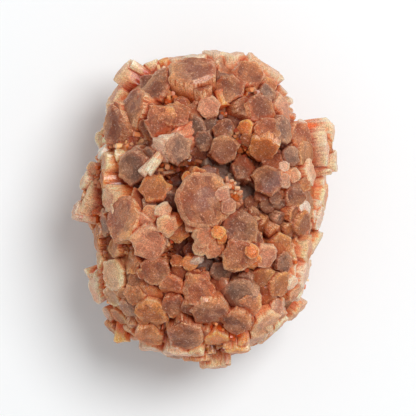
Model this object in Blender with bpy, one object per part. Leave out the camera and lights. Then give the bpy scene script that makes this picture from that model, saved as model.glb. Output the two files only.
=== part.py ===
"""An aragonite sputnik cluster: flat-ended six-sided crystals that radiate from one core.

The crystals have grown into each other, so the whole cluster is one solid. It rests on the
flat spot where its underside is worn off, at Z = 0, with its best side up (+Z). The tables
are in millimetres, and the solid is made in metres.
"""

import math
import random

import bmesh
import bpy
from mathutils import Matrix, Vector

MM = 0.001

# The body: the rounded block that the crystal ends fill, as half its sizes from its middle
BODY_HALF = Vector((25.5, 34.5, 24.0))
BODY_SQUARENESS = 2.2
MID_HEIGHT = 22.0

# The solid core in which the crystals root, lying a little low in the body
CORE_HALF = Vector((21.0, 29.0, 16.5))
CORE_DROP = 1.5
CORE_DETAIL = 2

# A crystal is a six-sided prism, a little wider at its end than at its root
CORNERS = 6
CORNER_REACH = 0.54
ROOT_SHARE = 0.8
CORNER_SCATTER = 0.09
END_SLANT_DEG = 5.0
END_SPARE = 1.0
ROOT_DEPTH = 1.5

# The crystals between those of the tables: points of a golden-angle spiral over the body
# take the wide crystals first, then slimmer ones in the gaps of the sides
SPIRAL_PASSES = (
    # points, highest end above the middle plane, lowest, narrowest and widest crystal
    (90, 0.0, -19.5, 8.8, 11.6),
    (180, 11.0, -4.0, 5.0, 6.6),
)
SPIRAL_DEPTH = (-3.0, -0.4)
SPIRAL_WOBBLE = 0.2
SPIRAL_CLEARANCE = 0.4
SEED = 11

# The block of air under the flat spot
GROUND_SIDE = 100.0
GROUND_DEPTH = 10.0

# Each row is one crystal: the x and y of the middle of its end, its width, the direction it
# leans to (0 is +X, 90 is +Y), its tilt from upright, and how far it stands out of the body.
CROWN = (
    (-18.7, 31.1, 4.8, 145, 82, 1.0),
    (-12.3, 32.9, 3.0, 115, 82, 1.0),
    (-9.5, 33.3, 2.8, 105, 82, 1.0),
    (-6.2, 33.8, 5.0, 98, 84, 0.0),
    (-1.8, 34.2, 4.8, 90, 84, 0.0),
    (-11.4, 27.8, 7.2, 125, 36, 1.5),
    (-16.1, 22.6, 7.4, 160, 58, 1.5),
    (-20.7, 25.4, 5.4, 150, 80, 0.0),
    (-20.5, 18.2, 8.2, 178, 62, 1.5),
    (-2.9, 30.9, 8.9, 95, 56, 2.5),
    (4.4, 35.0, 8.6, 89, 85, 3.0),
    (9.5, 30.0, 6.0, 65, 42, 2.0),
    (13.4, 32.2, 8.4, 52, 84, 2.0),
    (2.0, 27.2, 4.2, 140, 40, -2.5),
    (5.1, 26.7, 5.8, 100, 30, -0.5),
    (13.9, 27.8, 3.4, 40, 52, -0.5),
    (13.6, 25.4, 3.6, 30, 42, -0.5),
    (12.5, 22.1, 6.4, 20, 40, 0.5),
    (17.2, 26.7, 2.6, 40, 78, -1.0),
    (17.4, 22.5, 5.2, 25, 62, 0.5),
)
RIGHT_SHOULDER = (
    (13.6, 17.5, 5.2, 30, 28, 1.0),
    (17.4, 17.5, 5.2, 2, 55, 1.0),
    (21.1, 16.4, 5.6, 8, 46, 0.5),
    (28.5, 14.4, 9.0, 4, 84, 3.0),
    (22.0, 12.2, 5.0, 0, 60, 0.0),
    (18.5, 11.8, 3.8, 0, 35, -1.5),
    (14.5, 10.7, 4.2, 80, 30, -2.5),
    (12.3, 13.3, 5.8, 260, 38, -1.0),
    (8.4, 17.9, 3.2, 200, 20, -1.0),
    (8.8, 15.3, 2.8, 240, 20, -2.0),
    (13.6, 6.7, 5.6, 20, 12, -1.0),
    (17.2, 6.5, 2.8, 10, 30, -1.0),
    (19.4, 7.8, 2.8, 0, 35, -1.0),
    (23.0, 8.5, 4.8, 10, 68, 0.0),
    (26.2, 7.0, 4.6, 5, 80, 0.0),
    (19.6, 3.2, 4.8, 0, 36, -1.0),
    (21.6, 5.6, 2.6, 0, 50, -1.0),
    (26.4, 2.8, 5.0, 355, 80, 0.0),
    (21.8, 0.6, 3.2, 0, 58, 0.0),
    (25.3, -1.9, 4.8, 345, 78, 0.0),
    (21.4, -3.0, 4.8, 345, 60, 0.0),
)
HOLLOW = (
    (8.8, 4.1, 4.8, 70, 25, -7.0),
    (12.2, 3.8, 3.2, 60, 20, -4.0),
    (13.6, 1.2, 3.4, 330, 20, -4.5),
    (15.2, 3.0, 2.8, 20, 25, -3.0),
    (17.0, 0.6, 3.4, 340, 35, -3.0),
    (10.6, -1.0, 2.6, 320, 35, -4.0),
    (13.0, -1.4, 3.0, 20, 30, -5.5),
    (16.7, -2.6, 3.8, 330, 50, -3.0),
    (19.4, -1.0, 3.6, 345, 55, -1.0),
    (18.5, -4.4, 3.4, 340, 55, -2.0),
    (16.3, -8.0, 5.0, 335, 35, -1.0),
    (22.7, -8.5, 4.8, 352, 78, 0.0),
)
UPPER_BOWL = (
    (-9.5, 19.0, 6.4, 210, 12, 0.5),
    (-6.6, 21.0, 5.2, 80, 18, 0.0),
    (-2.4, 21.7, 3.8, 90, 14, -2.0),
    (0.7, 22.5, 4.2, 80, 14, -1.0),
    (4.0, 22.5, 2.4, 290, 68, -2.5),
    (-3.1, 17.9, 4.8, 180, 15, -3.0),
    (0.9, 18.4, 3.8, 100, 10, -3.5),
    (4.0, 17.7, 4.2, 60, 10, -2.5),
    (6.6, 19.9, 3.0, 60, 20, -4.0),
    (-0.4, 15.0, 3.8, 270, 15, -3.5),
    (4.0, 13.3, 5.2, 260, 8, -2.5),
    (-5.9, 13.3, 5.6, 350, 30, -0.5),
    (-10.1, 12.9, 4.8, 200, 56, -0.5),
    (-12.6, 8.0, 2.2, 235, 74, 0.0),
    (-1.8, 11.4, 4.0, 260, 42, -6.0),
    (1.0, 10.4, 2.8, 0, 40, -7.0),
    (3.5, 8.7, 4.4, 40, 30, -7.5),
    (8.4, 9.6, 5.2, 60, 25, -5.0),
)
LEFT_FLANK = (
    (-16.1, 9.4, 6.4, 195, 36, -0.5),
    (-23.5, 13.0, 3.0, 175, 80, 0.0),
    (-22.3, 10.2, 4.2, 178, 78, 1.0),
    (-22.6, 6.6, 3.8, 180, 80, 1.0),
    (-21.9, 2.6, 5.2, 182, 78, 1.0),
    (-28.2, 3.4, 8.4, 162, 84, 3.0),
    (-25.8, -3.0, 3.0, 215, 80, 0.0),
    (-22.5, -3.2, 4.0, 190, 65, 0.0),
    (-24.2, -6.6, 5.4, 184, 82, 0.0),
    (-20.3, -7.8, 4.2, 185, 65, 0.0),
    (-18.5, -1.7, 8.6, 166, 50, 2.0),
    (-14.5, 1.2, 2.8, 30, 30, 0.5),
    (-12.3, 1.9, 3.0, 60, 15, 0.0),
    (-11.2, 5.0, 5.8, 110, 18, 0.0),
    (-7.7, 1.6, 4.6, 240, 20, -1.0),
    (-6.2, 6.0, 3.0, 60, 15, -5.0),
    (-9.2, 0.1, 3.4, 60, 20, 2.0),
    (-12.1, -0.6, 3.4, 160, 20, 1.5),
    (-8.4, -3.0, 3.8, 270, 15, 3.0),
    (-6.4, -1.9, 2.8, 30, 20, 1.0),
    (-5.7, -4.5, 4.2, 300, 20, 0.0),
    (-14.5, -3.4, 5.4, 188, 32, 2.0),
    (-12.5, -7.6, 6.8, 262, 32, 2.5),
)
GREAT_KNOB = (
    (-0.2, 2.5, 10.6, 45, 10, 4.0),
    (5.0, 0.9, 3.2, 0, 16, 3.2),
    (3.8, 3.6, 3.0, 20, 14, 3.2),
    (-2.6, -2.8, 3.8, 255, 25, 2.0),
    (1.6, -2.2, 3.4, 300, 14, 2.5),
)
RIDGE = (
    (2.6, -4.5, 2.8, 60, 8, 3.0),
    (-0.7, -5.8, 4.4, 250, 15, 2.0),
    (1.5, -8.0, 4.2, 290, 18, 1.5),
    (-1.1, -8.0, 3.2, 210, 20, 1.2),
    (7.5, -3.6, 7.0, 40, 32, 1.0),
    (9.9, -5.8, 5.0, 40, 32, 0.5),
    (6.8, -9.8, 6.2, 250, 12, 3.0),
    (9.9, -8.5, 2.9, 60, 10, 4.5),
    (10.3, -11.3, 3.2, 290, 30, 2.0),
    (13.2, -9.8, 4.8, 345, 30, 2.0),
)
LOWER_FIELD = (
    (-3.1, -8.5, 3.4, 120, 15, -3.0),
    (-3.5, -11.5, 3.2, 250, 20, -1.0),
    (-0.4, -12.4, 4.4, 300, 20, -3.0),
    (-6.2, -10.7, 2.6, 100, 15, -1.0),
    (-5.9, -13.0, 3.2, 250, 15, -2.0),
    (-1.8, -17.3, 6.4, 270, 10, 1.0),
    (3.3, -13.3, 3.8, 280, 22, -1.5),
    (5.9, -13.6, 2.8, 270, 30, -2.5),
    (2.9, -16.2, 4.0, 200, 25, -1.5),
    (7.0, -18.2, 6.0, 250, 35, 0.5),
    (9.7, -20.6, 4.6, 290, 35, 1.5),
    (12.3, -14.6, 4.6, 300, 35, -0.5),
    (17.2, -11.5, 3.8, 340, 42, 0.0),
    (16.3, -16.2, 5.2, 328, 48, 0.5),
    (19.0, -16.0, 3.0, 330, 66, 1.0),
    (13.4, -18.8, 4.4, 300, 45, -1.0),
    (15.6, -21.2, 3.2, 310, 35, 0.5),
    (19.6, -18.2, 3.2, 325, 62, -1.0),
    (22.0, -13.9, 5.6, 345, 76, 0.0),
    (20.8, -18.4, 3.4, 340, 78, -1.0),
    (20.5, -22.4, 5.2, 322, 78, 0.0),
    (0.9, -22.3, 7.6, 270, 42, 1.0),
    (-6.6, -21.0, 4.8, 260, 30, 0.0),
    (-4.2, -23.8, 3.4, 270, 35, -2.0),
    (-11.0, -13.3, 5.6, 260, 20, 0.0),
    (-7.7, -16.8, 4.6, 255, 22, -0.5),
)
SKIRT = (
    (13.2, -24.6, 6.2, 300, 62, 0.0),
    (12.4, -27.2, 4.6, 292, 82, 0.0),
    (16.4, -25.2, 3.8, 310, 78, 0.0),
    (6.6, -24.5, 5.8, 265, 46, 1.0),
    (6.9, -31.0, 4.8, 268, 80, 0.0),
    (2.2, -28.5, 5.2, 268, 62, -1.0),
    (1.5, -34.7, 5.4, 270, 84, 1.0),
    (-2.2, -31.6, 3.4, 262, 80, 0.0),
    (-4.4, -27.8, 7.2, 266, 50, 1.0),
    (-6.2, -31.6, 5.6, 266, 82, 0.0),
    (-11.9, -31.0, 5.6, 262, 80, 0.0),
    (-12.3, -27.6, 5.8, 255, 55, 0.5),
    (-12.1, -22.8, 6.2, 250, 36, 1.0),
    (-11.7, -18.8, 4.6, 250, 25, -1.5),
    (-14.7, -15.4, 4.4, 220, 35, -0.5),
    (-15.8, -18.6, 4.8, 228, 45, 0.0),
    (-17.0, -21.4, 4.4, 232, 50, 0.0),
    (-19.2, -23.6, 3.8, 225, 62, 0.0),
    (-15.6, -25.6, 3.4, 245, 65, 0.0),
    (-22.0, -23.0, 3.4, 205, 78, 0.0),
    (-21.2, -26.3, 3.6, 220, 78, -1.0),
    (-18.7, -29.0, 3.0, 265, 84, 1.0),
    (-16.2, -28.2, 2.6, 255, 80, 0.0),
    (-20.5, -14.0, 6.4, 190, 52, 0.5),
    (-16.7, -11.4, 5.0, 195, 35, 0.5),
    (-25.2, -17.2, 6.2, 205, 80, 1.0),
    (-23.8, -10.4, 3.8, 185, 78, 0.0),
    (-20.6, -19.0, 4.6, 215, 66, 0.0),
)
UNDERSIDE = (
    (0.0, 0.0, 9.2, 0, 180, 0.0),
    (9.2, 4.5, 8.0, 27, 168, 0.0),
    (0.8, 10.5, 8.2, 90, 168, 0.0),
    (-9.0, 5.2, 7.6, 150, 168, 0.0),
    (-8.6, -5.4, 8.4, 213, 168, 0.0),
    (0.2, -10.2, 7.8, 270, 168, 0.0),
    (9.2, -6.2, 7.4, 325, 168, 0.0),
    (9.6, 15.0, 7.6, 57, 158, 0.0),
    (-9.0, 14.6, 7.8, 123, 158, 0.0),
    (-8.8, -15.4, 8.0, 238, 158, 0.0),
    (9.4, -15.6, 7.4, 302, 158, 0.0),
    (0.4, 20.6, 7.2, 90, 155, 0.0),
    (0.2, -20.2, 7.6, 270, 155, 0.0),
)
FACE_UP = (
    CROWN
    + RIGHT_SHOULDER
    + HOLLOW
    + UPPER_BOWL
    + LEFT_FLANK
    + GREAT_KNOB
    + RIDGE
    + LOWER_FIELD
    + SKIRT
)


def direction(toward, tilt):
    """The unit vector that leans from upright by tilt, towards a compass direction."""
    around, lean = math.radians(toward), math.radians(tilt)
    flat = math.sin(lean)
    return Vector((flat * math.cos(around), flat * math.sin(around), math.cos(lean)))


def skin_height(x, y):
    """Height of the body's skin above its middle plane, over a point of that plane."""
    p = BODY_SQUARENESS
    left = 1 - abs(x / BODY_HALF.x) ** p - abs(y / BODY_HALF.y) ** p
    return BODY_HALF.z * max(0.0, left) ** (1 / p)


def skin_distance(way):
    """Distance from the body's middle to its skin in a direction."""
    p = BODY_SQUARENESS
    return sum(abs(way[i] / BODY_HALF[i]) ** p for i in range(3)) ** (-1 / p)


def length_into_core(end, axis):
    """How long a crystal is that roots in the core, or that stops where it passes it nearest."""
    start = end - Vector((0, 0, MID_HEIGHT - CORE_DROP))
    p = Vector([start[k] / CORE_HALF[k] for k in range(3)])
    d = Vector([axis[k] / CORE_HALF[k] for k in range(3)])
    nearest = p.dot(d) / d.dot(d)
    inside = nearest**2 - (p.dot(p) - 1) / d.dot(d)
    return nearest - math.sqrt(max(0.0, inside)) + ROOT_DEPTH


def table_crystals(table, side):
    """The crystals of a table on the upper (1) or lower (-1) side: end, axis and width."""
    found = []
    for x, y, across, toward, tilt, rise in table:
        end = Vector((x, y, MID_HEIGHT + side * (skin_height(x, y) + rise)))
        found.append((end, direction(toward, tilt), across))
    return found


def spiral_ways(count):
    """Directions evenly spread over all sides, from the top down."""
    golden_angle = math.pi * (3 - math.sqrt(5))
    for i in range(count):
        up = 1 - 2 * (i + 0.5) / count
        flat = math.sqrt(1 - up * up)
        turn = i * golden_angle
        round_way = (flat * math.cos(turn), flat * math.sin(turn), up)
        yield Vector([round_way[k] * BODY_HALF[k] for k in range(3)]).normalized()


def spiral_crystals(taken):
    """Crystals of the sides and the underside, wherever none of those taken stands."""
    dice = random.Random(SEED)
    middle = Vector((0, 0, MID_HEIGHT))
    found = []
    for count, top, bottom, narrowest, widest in SPIRAL_PASSES:
        for way in spiral_ways(count):
            across = dice.uniform(narrowest, widest)
            end = middle + way * (skin_distance(way) + dice.uniform(*SPIRAL_DEPTH))
            wobble = [dice.uniform(-SPIRAL_WOBBLE, SPIRAL_WOBBLE) for _ in range(3)]
            crowded = any(
                (end - other_end).length < SPIRAL_CLEARANCE * (across + other_across)
                for other_end, _, other_across in taken + found
            )
            if bottom < end.z - MID_HEIGHT < top and not crowded:
                axis = (way + Vector(wobble)).normalized()
                found.append((end, axis, across))
    return found


def scatter_corners(bm, dice):
    """Make the six-sided outline uneven, the same at both ends."""
    reach = [1 + dice.uniform(-CORNER_SCATTER, CORNER_SCATTER) for _ in range(CORNERS)]
    for v in bm.verts:
        turn = math.atan2(v.co.y, v.co.x) / math.tau
        corner = math.floor(turn * CORNERS) % CORNERS
        v.co.x *= reach[corner]
        v.co.y *= reach[corner]


def slant_end(bm, dice):
    """Cut the end off along a slightly slanted plane through the origin."""
    slant = dice.uniform(0, END_SLANT_DEG)
    geometry = bm.verts[:] + bm.edges[:] + bm.faces[:]
    cut = bmesh.ops.bisect_plane(
        bm,
        geom=geometry,
        plane_co=(0, 0, 0),
        plane_no=direction(dice.uniform(0, 360), slant),
        clear_outer=True,
    )
    rim = [e for e in cut["geom_cut"] if isinstance(e, bmesh.types.BMEdge)]
    bmesh.ops.edgeloop_fill(bm, edges=rim)
    bmesh.ops.recalc_face_normals(bm, faces=bm.faces)


def crystal(name, end, axis, across, dice):
    """A prism whose end has its middle at a point and faces along the axis."""
    length = length_into_core(end, axis)
    bm = bmesh.new()
    bmesh.ops.create_cone(
        bm,
        cap_ends=True,
        segments=CORNERS,
        radius1=ROOT_SHARE * CORNER_REACH * across * MM,
        radius2=CORNER_REACH * across * MM,
        depth=(length + END_SPARE) * MM,
    )
    bmesh.ops.translate(bm, verts=bm.verts, vec=(0, 0, 0.5 * (END_SPARE - length) * MM))
    scatter_corners(bm, dice)
    slant_end(bm, dice)
    spin = Matrix.Rotation(dice.uniform(0, math.tau), 4, "Z")
    lean = axis.to_track_quat("Z", "Y").to_matrix().to_4x4()
    bm.transform(Matrix.Translation(end * MM) @ lean @ spin)
    return helper(name, bm)


def core():
    """The faceted block in which all crystals root."""
    bm = bmesh.new()
    bmesh.ops.create_icosphere(bm, subdivisions=CORE_DETAIL, radius=1.0)
    bmesh.ops.scale(bm, verts=bm.verts, vec=CORE_HALF * MM)
    bmesh.ops.translate(bm, verts=bm.verts, vec=(0, 0, (MID_HEIGHT - CORE_DROP) * MM))
    return helper("core", bm)


def ground_block():
    """The air below the flat spot, as a block whose top is at Z = 0."""
    bm = bmesh.new()
    bmesh.ops.create_cube(bm, size=1.0)
    bmesh.ops.scale(bm, verts=bm.verts, vec=Vector((GROUND_SIDE, GROUND_SIDE, GROUND_DEPTH)) * MM)
    bmesh.ops.translate(bm, verts=bm.verts, vec=(0, 0, -0.5 * GROUND_DEPTH * MM))
    return helper("ground_block", bm)


def helper(name, bm):
    """An object that only takes part in the joins and cuts."""
    mesh = bpy.data.meshes.new(name)
    bm.to_mesh(mesh)
    bm.free()
    ob = bpy.data.objects.new(name, mesh)
    ob.hide_render = True
    ob.display_type = "WIRE"
    return ob


def joined(base, growth, ground):
    """The mesh of the core and all crystals in one, cut off flat at the ground."""
    grow = base.modifiers.new("grow", "BOOLEAN")
    grow.operation = "UNION"
    grow.operand_type = "COLLECTION"
    grow.collection = growth
    grow.solver = "EXACT"
    rest = base.modifiers.new("rest", "BOOLEAN")
    rest.operation = "DIFFERENCE"
    rest.object = ground
    rest.solver = "EXACT"
    graph = bpy.context.evaluated_depsgraph_get()
    return bpy.data.meshes.new_from_object(base.evaluated_get(graph))


def keep_outer_skin(mesh):
    """Remove the skins of the small hollows that the crystals have closed off."""
    bm = bmesh.new()
    bm.from_mesh(mesh)
    left = set(bm.verts)
    skins = []
    while left:
        front = [left.pop()]
        skin = list(front)
        while front:
            near = {e.other_vert(v) for v in front for e in v.link_edges}
            front = list(near & left)
            left -= near
            skin += front
        skins.append(skin)
    skins.sort(key=len)
    for skin in skins[:-1]:
        bmesh.ops.delete(bm, geom=skin, context="VERTS")
    bm.to_mesh(mesh)
    bm.free()


def aragonite():
    """Translucent rust-orange mineral with a waxy lustre."""
    mat = bpy.data.materials.new("aragonite")
    mat.use_nodes = True
    shader = mat.node_tree.nodes["Principled BSDF"]
    shader.inputs["Base Color"].default_value = (0.50, 0.19, 0.09, 1.0)
    shader.inputs["Roughness"].default_value = 0.42
    shader.inputs["IOR"].default_value = 1.63
    shader.inputs["Subsurface Weight"].default_value = 0.35
    shader.inputs["Subsurface Radius"].default_value = (1.0, 0.45, 0.22)
    shader.inputs["Subsurface Scale"].default_value = 2.5 * MM
    return mat


def build():
    """The cluster in its own collection, and its helpers in another."""
    scene = bpy.context.scene
    helpers = bpy.data.collections.new("helpers")
    growth = bpy.data.collections.new("crystals")
    cluster = bpy.data.collections.new("aragonite_sputnik_cluster")
    scene.collection.children.link(helpers)
    scene.collection.children.link(cluster)
    helpers.children.link(growth)
    taken = table_crystals(FACE_UP, 1) + table_crystals(UNDERSIDE, -1)
    dice = random.Random(SEED)
    for i, shape in enumerate(taken + spiral_crystals(taken)):
        growth.objects.link(crystal(f"crystal_{i:03d}", *shape, dice))
    base = core()
    ground = ground_block()
    helpers.objects.link(base)
    helpers.objects.link(ground)
    mesh = joined(base, growth, ground)
    keep_outer_skin(mesh)
    mesh.materials.clear()
    mesh.materials.append(aragonite())
    cluster.objects.link(bpy.data.objects.new("aragonite_cluster", mesh))
    helpers.hide_render = True


def main():
    for old in list(bpy.data.objects):
        bpy.data.objects.remove(old)
    build()


if __name__ == "__main__":
    main()
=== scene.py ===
"""The looks of an aragonite sputnik cluster: frosted six-sided crystals that radiate from one core.

The crystals stand where the solid has them, drawn a little wider, with smaller ones between.
Lengths are millimetres, and become metres where a mesh or a node takes them. A tint is 0 to
255 for red, green and blue. Angles are degrees where a name says so, and in the tables.
"""

import math
import random

import bmesh
import bpy
import numpy as np
from mathutils import Matrix, Vector
from mathutils.bvhtree import BVHTree
from mathutils.kdtree import KDTree


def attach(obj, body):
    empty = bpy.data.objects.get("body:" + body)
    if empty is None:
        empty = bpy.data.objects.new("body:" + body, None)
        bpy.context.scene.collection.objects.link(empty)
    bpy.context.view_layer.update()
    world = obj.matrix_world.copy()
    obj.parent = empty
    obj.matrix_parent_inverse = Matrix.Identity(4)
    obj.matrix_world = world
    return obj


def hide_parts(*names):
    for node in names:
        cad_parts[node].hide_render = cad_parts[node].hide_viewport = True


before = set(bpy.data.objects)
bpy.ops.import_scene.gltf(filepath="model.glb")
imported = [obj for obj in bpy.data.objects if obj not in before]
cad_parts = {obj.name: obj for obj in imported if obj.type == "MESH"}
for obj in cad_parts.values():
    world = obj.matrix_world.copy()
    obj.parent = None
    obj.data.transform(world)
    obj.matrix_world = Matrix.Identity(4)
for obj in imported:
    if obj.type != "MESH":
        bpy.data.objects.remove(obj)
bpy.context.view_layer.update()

MM = 0.001
SEED = 11
GOLDEN_ANGLE = math.pi * (3 - math.sqrt(5))

# The body that the crystal ends fill, and the core in which they root
BODY_HALF = Vector((25.5, 34.5, 24.0))
BODY_SQUARENESS = 2.2
MID_HEIGHT = 22.0
MIDDLE = Vector((0.0, 0.0, MID_HEIGHT))
CORE_HALF = Vector((21.0, 29.0, 16.5))
CORE_DROP = 1.5

# A crystal is a six-sided prism, a little wider at its end than at its root
CORNERS = 6
CORNER_REACH = 0.54
WIDENING = 1.22
ROOT_SHARE = 0.8
CORNER_SCATTER = 0.09
END_SLANT_DEG = 5.0
END_SPARE = 1.0
ROOT_DEPTH = 1.5

# Points round a crystal, steps along it and rings across its end, for wide and for slim ones
SLIM_BELOW = 4.4
POINTS_ROUND = 36
POINTS_ROUND_SLIM = 18
STEPS_ALONG = 3
STEPS_ALONG_SLIM = 2
STEPS_ACROSS = 3

# Rings crowd towards the rim of the end, and steps towards the end
RINGS_CROWD = 1.8
STEPS_CROWD = 1.5
OUTERMOST_RING = 0.99

# Ribs on the flanks and wear of the rim and corners, as shares of the crystal's size
RIB_DEPTH = 0.045
RIM_WEAR = 0.045
LEAST_RIM_WEAR = 0.5
CORNER_WEAR = 0.12
CORNER_WEAR_REACH = 0.93

# How far the outline wanders and how uneven all faces are, with the scale of each noise
OUTLINE_WANDER = 0.2
WANDER_SCALE = 1.1
WANDER_APART = 7.3
UNEVENNESS = 1.4
UNEVENNESS_SCALE = 420.0
SHARP_FROM_DEG = 26.0

# Broken ends: how many, how far out the break starts as a share of the width, and its slope
CHIPPED_SHARE = 0.5
CHIP_OUT = (-0.05, 0.32)
CHIP_SLOPE_DEG = (18.0, 48.0)

# The widest crystal of all, the great knob, is rounded like a dome
KNOB_DOME = 0.13
KNOB_WEAR = 0.75

# What makes a crystal's own number of the place of its end
MARK_WEIGHTS = (71, 13, 5)

# The crystals of the sides and the underside, on a golden-angle spiral over the body
SPIRAL_PASSES = (
    # points, highest end above the middle plane, lowest, narrowest and widest crystal
    (90, 0.0, -19.5, 8.8, 11.6),
    (180, 11.0, -4.0, 5.0, 6.6),
)
SPIRAL_DEPTH = (-3.0, -0.4)
SPIRAL_WOBBLE = 0.2
SPIRAL_CLEARANCE = 0.4
SPIRAL_TINTS = ("peach", "tan", "rosy", "brown", "pink", "mauve", "tan", "rust")
SPIRAL_TINT_STEP = 5

# The parallel crystals that a thick striped one is made of: how far aside and how wide, as
# shares of its width, how far back in millimetres, and the tint
BUNDLE_FROM = 7.5
BUNDLE_BACK = 1.3
BUNDLE_HOST = 0.9
BUNDLE = (
    (-0.33, 0.44, 0.0, "striped"),
    (0.0, 0.4, 0.8, "rust"),
    (0.32, 0.46, 0.2, "cream"),
)

# Slim crystals grown along the wide ones, a little shorter, as shares of the wide one's width
HOST_FROM = 4.0
SATELLITES_PER_MM = 0.32
SATELLITE_OUT = (0.28, 0.5)
SATELLITE_WIDTH = (0.26, 0.52)
SATELLITE_WIDEST = 3.6
SATELLITE_DROP = (0.4, 2.2)

# Small crystals that fill the gaps between the others, each ending below those it meets
FILL_POINTS = 620
FILL_WIDTH = (2.0, 4.8)
FILL_DROP = (0.0, 1.9)
FILL_SINK = 0.45
FILL_AWAY_FROM = 5.5
FILL_SINK_BESIDE = 0.25
FILL_ROUNDS = 2
FILL_WOBBLE = 0.5
FILL_SCATTER = 0.24
FILL_SLANT_DEG = 24.0
FILL_NEAR = 3.0
FILL_TINTS = {
    "white": "grey",
    "striped": "peach",
    "orange": "rust",
    "green": "tan",
    "cream": "peach",
}

# A small crystal is over another within a share of the other's width and one of its own, and
# up to a height. It is inside the other within a share less one of its own, from a depth on.
OVER = (0.46, 0.15)
OVER_UP_TO = 8.0
INSIDE = (0.45, 0.25)
INSIDE_FROM = 0.2

# No small crystal ends lower than this, and no neighbour weighs less than this
LOWEST_END = 1.0
LEAST_WEIGHT = 1e-9

# The amber mass between the crystals: how far below their ends it lies and within what share
# of their widths, which crystals shape it, and how rough it is
MASS_DROP = 1.0
MASS_NEAR = 3.0
MASS_UNDER = 0.6
MASS_BELOW_END = 0.35
MASS_BELOW_END_SHARE = 0.16
MASS_DETAIL = 6
MASS_SHAPED_BY = 3.0
MASS_LOWEST = -4.0
MASS_ROUGHNESS = 1.1
MASS_LUMPS = 500.0
MASS_CELLS = 520.0
MASS_CELL_SHARE = 1.2

# The block of air under the flat spot
GROUND_SIDE = 100.0
GROUND_DEPTH = 10.0

# The druse of tiny crystals on the mass, densest in the hollows
DRUSE_PER_SQUARE_MM = 1.1
DRUSE_FROM_HOLLOW = 0.42
DRUSE_ELSEWHERE = 0.35
DRUSE_LOWEST = 2.5
DRUSE_RADIUS = (0.25, 0.7)
DRUSE_HEIGHT = (0.6, 1.9)
DRUSE_TOP = 0.85
DRUSE_SUNK = 0.3
DRUSE_LEAN = 0.5

# How far a hollow is looked into, in how many ways from each point, and how much less of the
# view a far wall blocks than a near one
HOLLOW_REACH = 7.0
HOLLOW_WAYS = 10
HOLLOW_LIFT = 0.06
HOLLOW_FADE = 0.6

# Four tints of a crystal: the middle of its end, the rim of its end, its flanks near the end,
# and its flanks at the root
TINTS = {
    "mauve": ((145, 84, 58), (184, 111, 70), (238, 170, 114), (190, 79, 24)),
    "grey": ((147, 106, 86), (178, 127, 101), (221, 162, 118), (155, 70, 26)),
    "rosy": ((166, 93, 62), (205, 129, 85), (244, 178, 119), (200, 85, 27)),
    "pink": ((202, 133, 102), (229, 165, 132), (244, 192, 150), (204, 98, 38)),
    "peach": ((218, 143, 104), (248, 184, 142), (255, 213, 167), (225, 110, 39)),
    "cream": ((232, 172, 139), (255, 205, 176), (255, 208, 178), (222, 114, 50)),
    "white": ((255, 208, 182), (255, 222, 200), (255, 214, 188), (232, 152, 114)),
    "orange": ((227, 123, 57), (246, 163, 91), (254, 166, 93), (209, 84, 23)),
    "rust": ((173, 95, 49), (201, 128, 70), (225, 140, 67), (159, 61, 15)),
    "brown": ((181, 105, 60), (217, 143, 82), (250, 175, 102), (187, 75, 21)),
    "dark": ((168, 92, 54), (193, 111, 65), (211, 115, 60), (139, 52, 15)),
    "slate": ((197, 173, 166), (225, 201, 186), (228, 197, 170), (159, 101, 67)),
    "tan": ((181, 110, 67), (211, 141, 90), (240, 175, 116), (187, 86, 30)),
    "green": ((209, 155, 117), (239, 190, 148), (255, 206, 153), (214, 121, 58)),
    "striped": ((236, 178, 140), (255, 210, 178), (255, 198, 152), (186, 68, 20)),
}

# How far the tones and the warmths of the crystals spread, as shares
TONE_SPREAD = 0.17
WARMTH_SPREAD = 0.16

# A lying crystal has painted glow below its end, and a sunken one painted shade, from one depth to
# another
SIDE_GLOW = 0.3
SUNK_SHADE = 0.36
SUNK_FROM = 0.5
SUNK_TO = 6.0

# The side on which an end glows is the crystal's own number times this many turns
GLOW_TURNS = 7.3

# How far a face looks towards the end before it counts as part of it, and how soon it fully does
END_FACE_FROM = 0.4
END_FACE_SOFTNESS = 0.5

# Where noise is read: how far apart for two crystals and for the veils, and how it is squeezed
# to run along the crystals as streaks and across them as bands
MARKS_APART = 400.0
VEILS_APART = (31.0, 17.0, 5.0)
STREAK_SQUEEZE = (1.0, 1.0, 0.12)
BAND_SQUEEZE = (0.08, 0.08, 1.0)

# Tints over all crystals: the painted shade of the hollows, the frost, the frost and painted
# highlights of the flanks, the warm and pale specks, and the painted glints
PAINTED_HOLLOW_SHADE = (204, 156, 112)
FROST_TINT = (206, 160, 132)
FLANK_FROST_AND_HIGHLIGHT_TINT = (255, 208, 176)
WARM_SPECK_TINT = (150, 72, 36)
PALE_SPECK_TINT = (250, 212, 184)
PAINTED_GLINT_COLOR = (1.0, 0.92, 0.85, 1.0)

# The floor and the light, in metres and watts
FLOOR_HALF = 2.0
FLOOR_COLOR = (0.915, 0.935, 0.945, 1.0)
ROOM_STRENGTH = 0.5
LAMP_SIZE = 0.6
LAMP_ENERGY = 10.0
LAMP_PLACE = Vector((0.42, 0.31, 1.1))

# The camera looks straight down from far above, through a long lens
CAMERA_MIDDLE = (0.44, 0.55)
CAMERA_DISTANCE = 1017.0
CAMERA_AIM_HEIGHT = 25.0
CAMERA_LENS = 400.0
CAMERA_SENSOR = 36.0
CAMERA_CLIP_M = (0.1, 20.0)

# Each row is one crystal: the x and y of the middle of its end, its width, the direction it
# leans to (0 is +X, 90 is +Y), its tilt from upright, how far it stands out of the body, and
# its tint.

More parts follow.
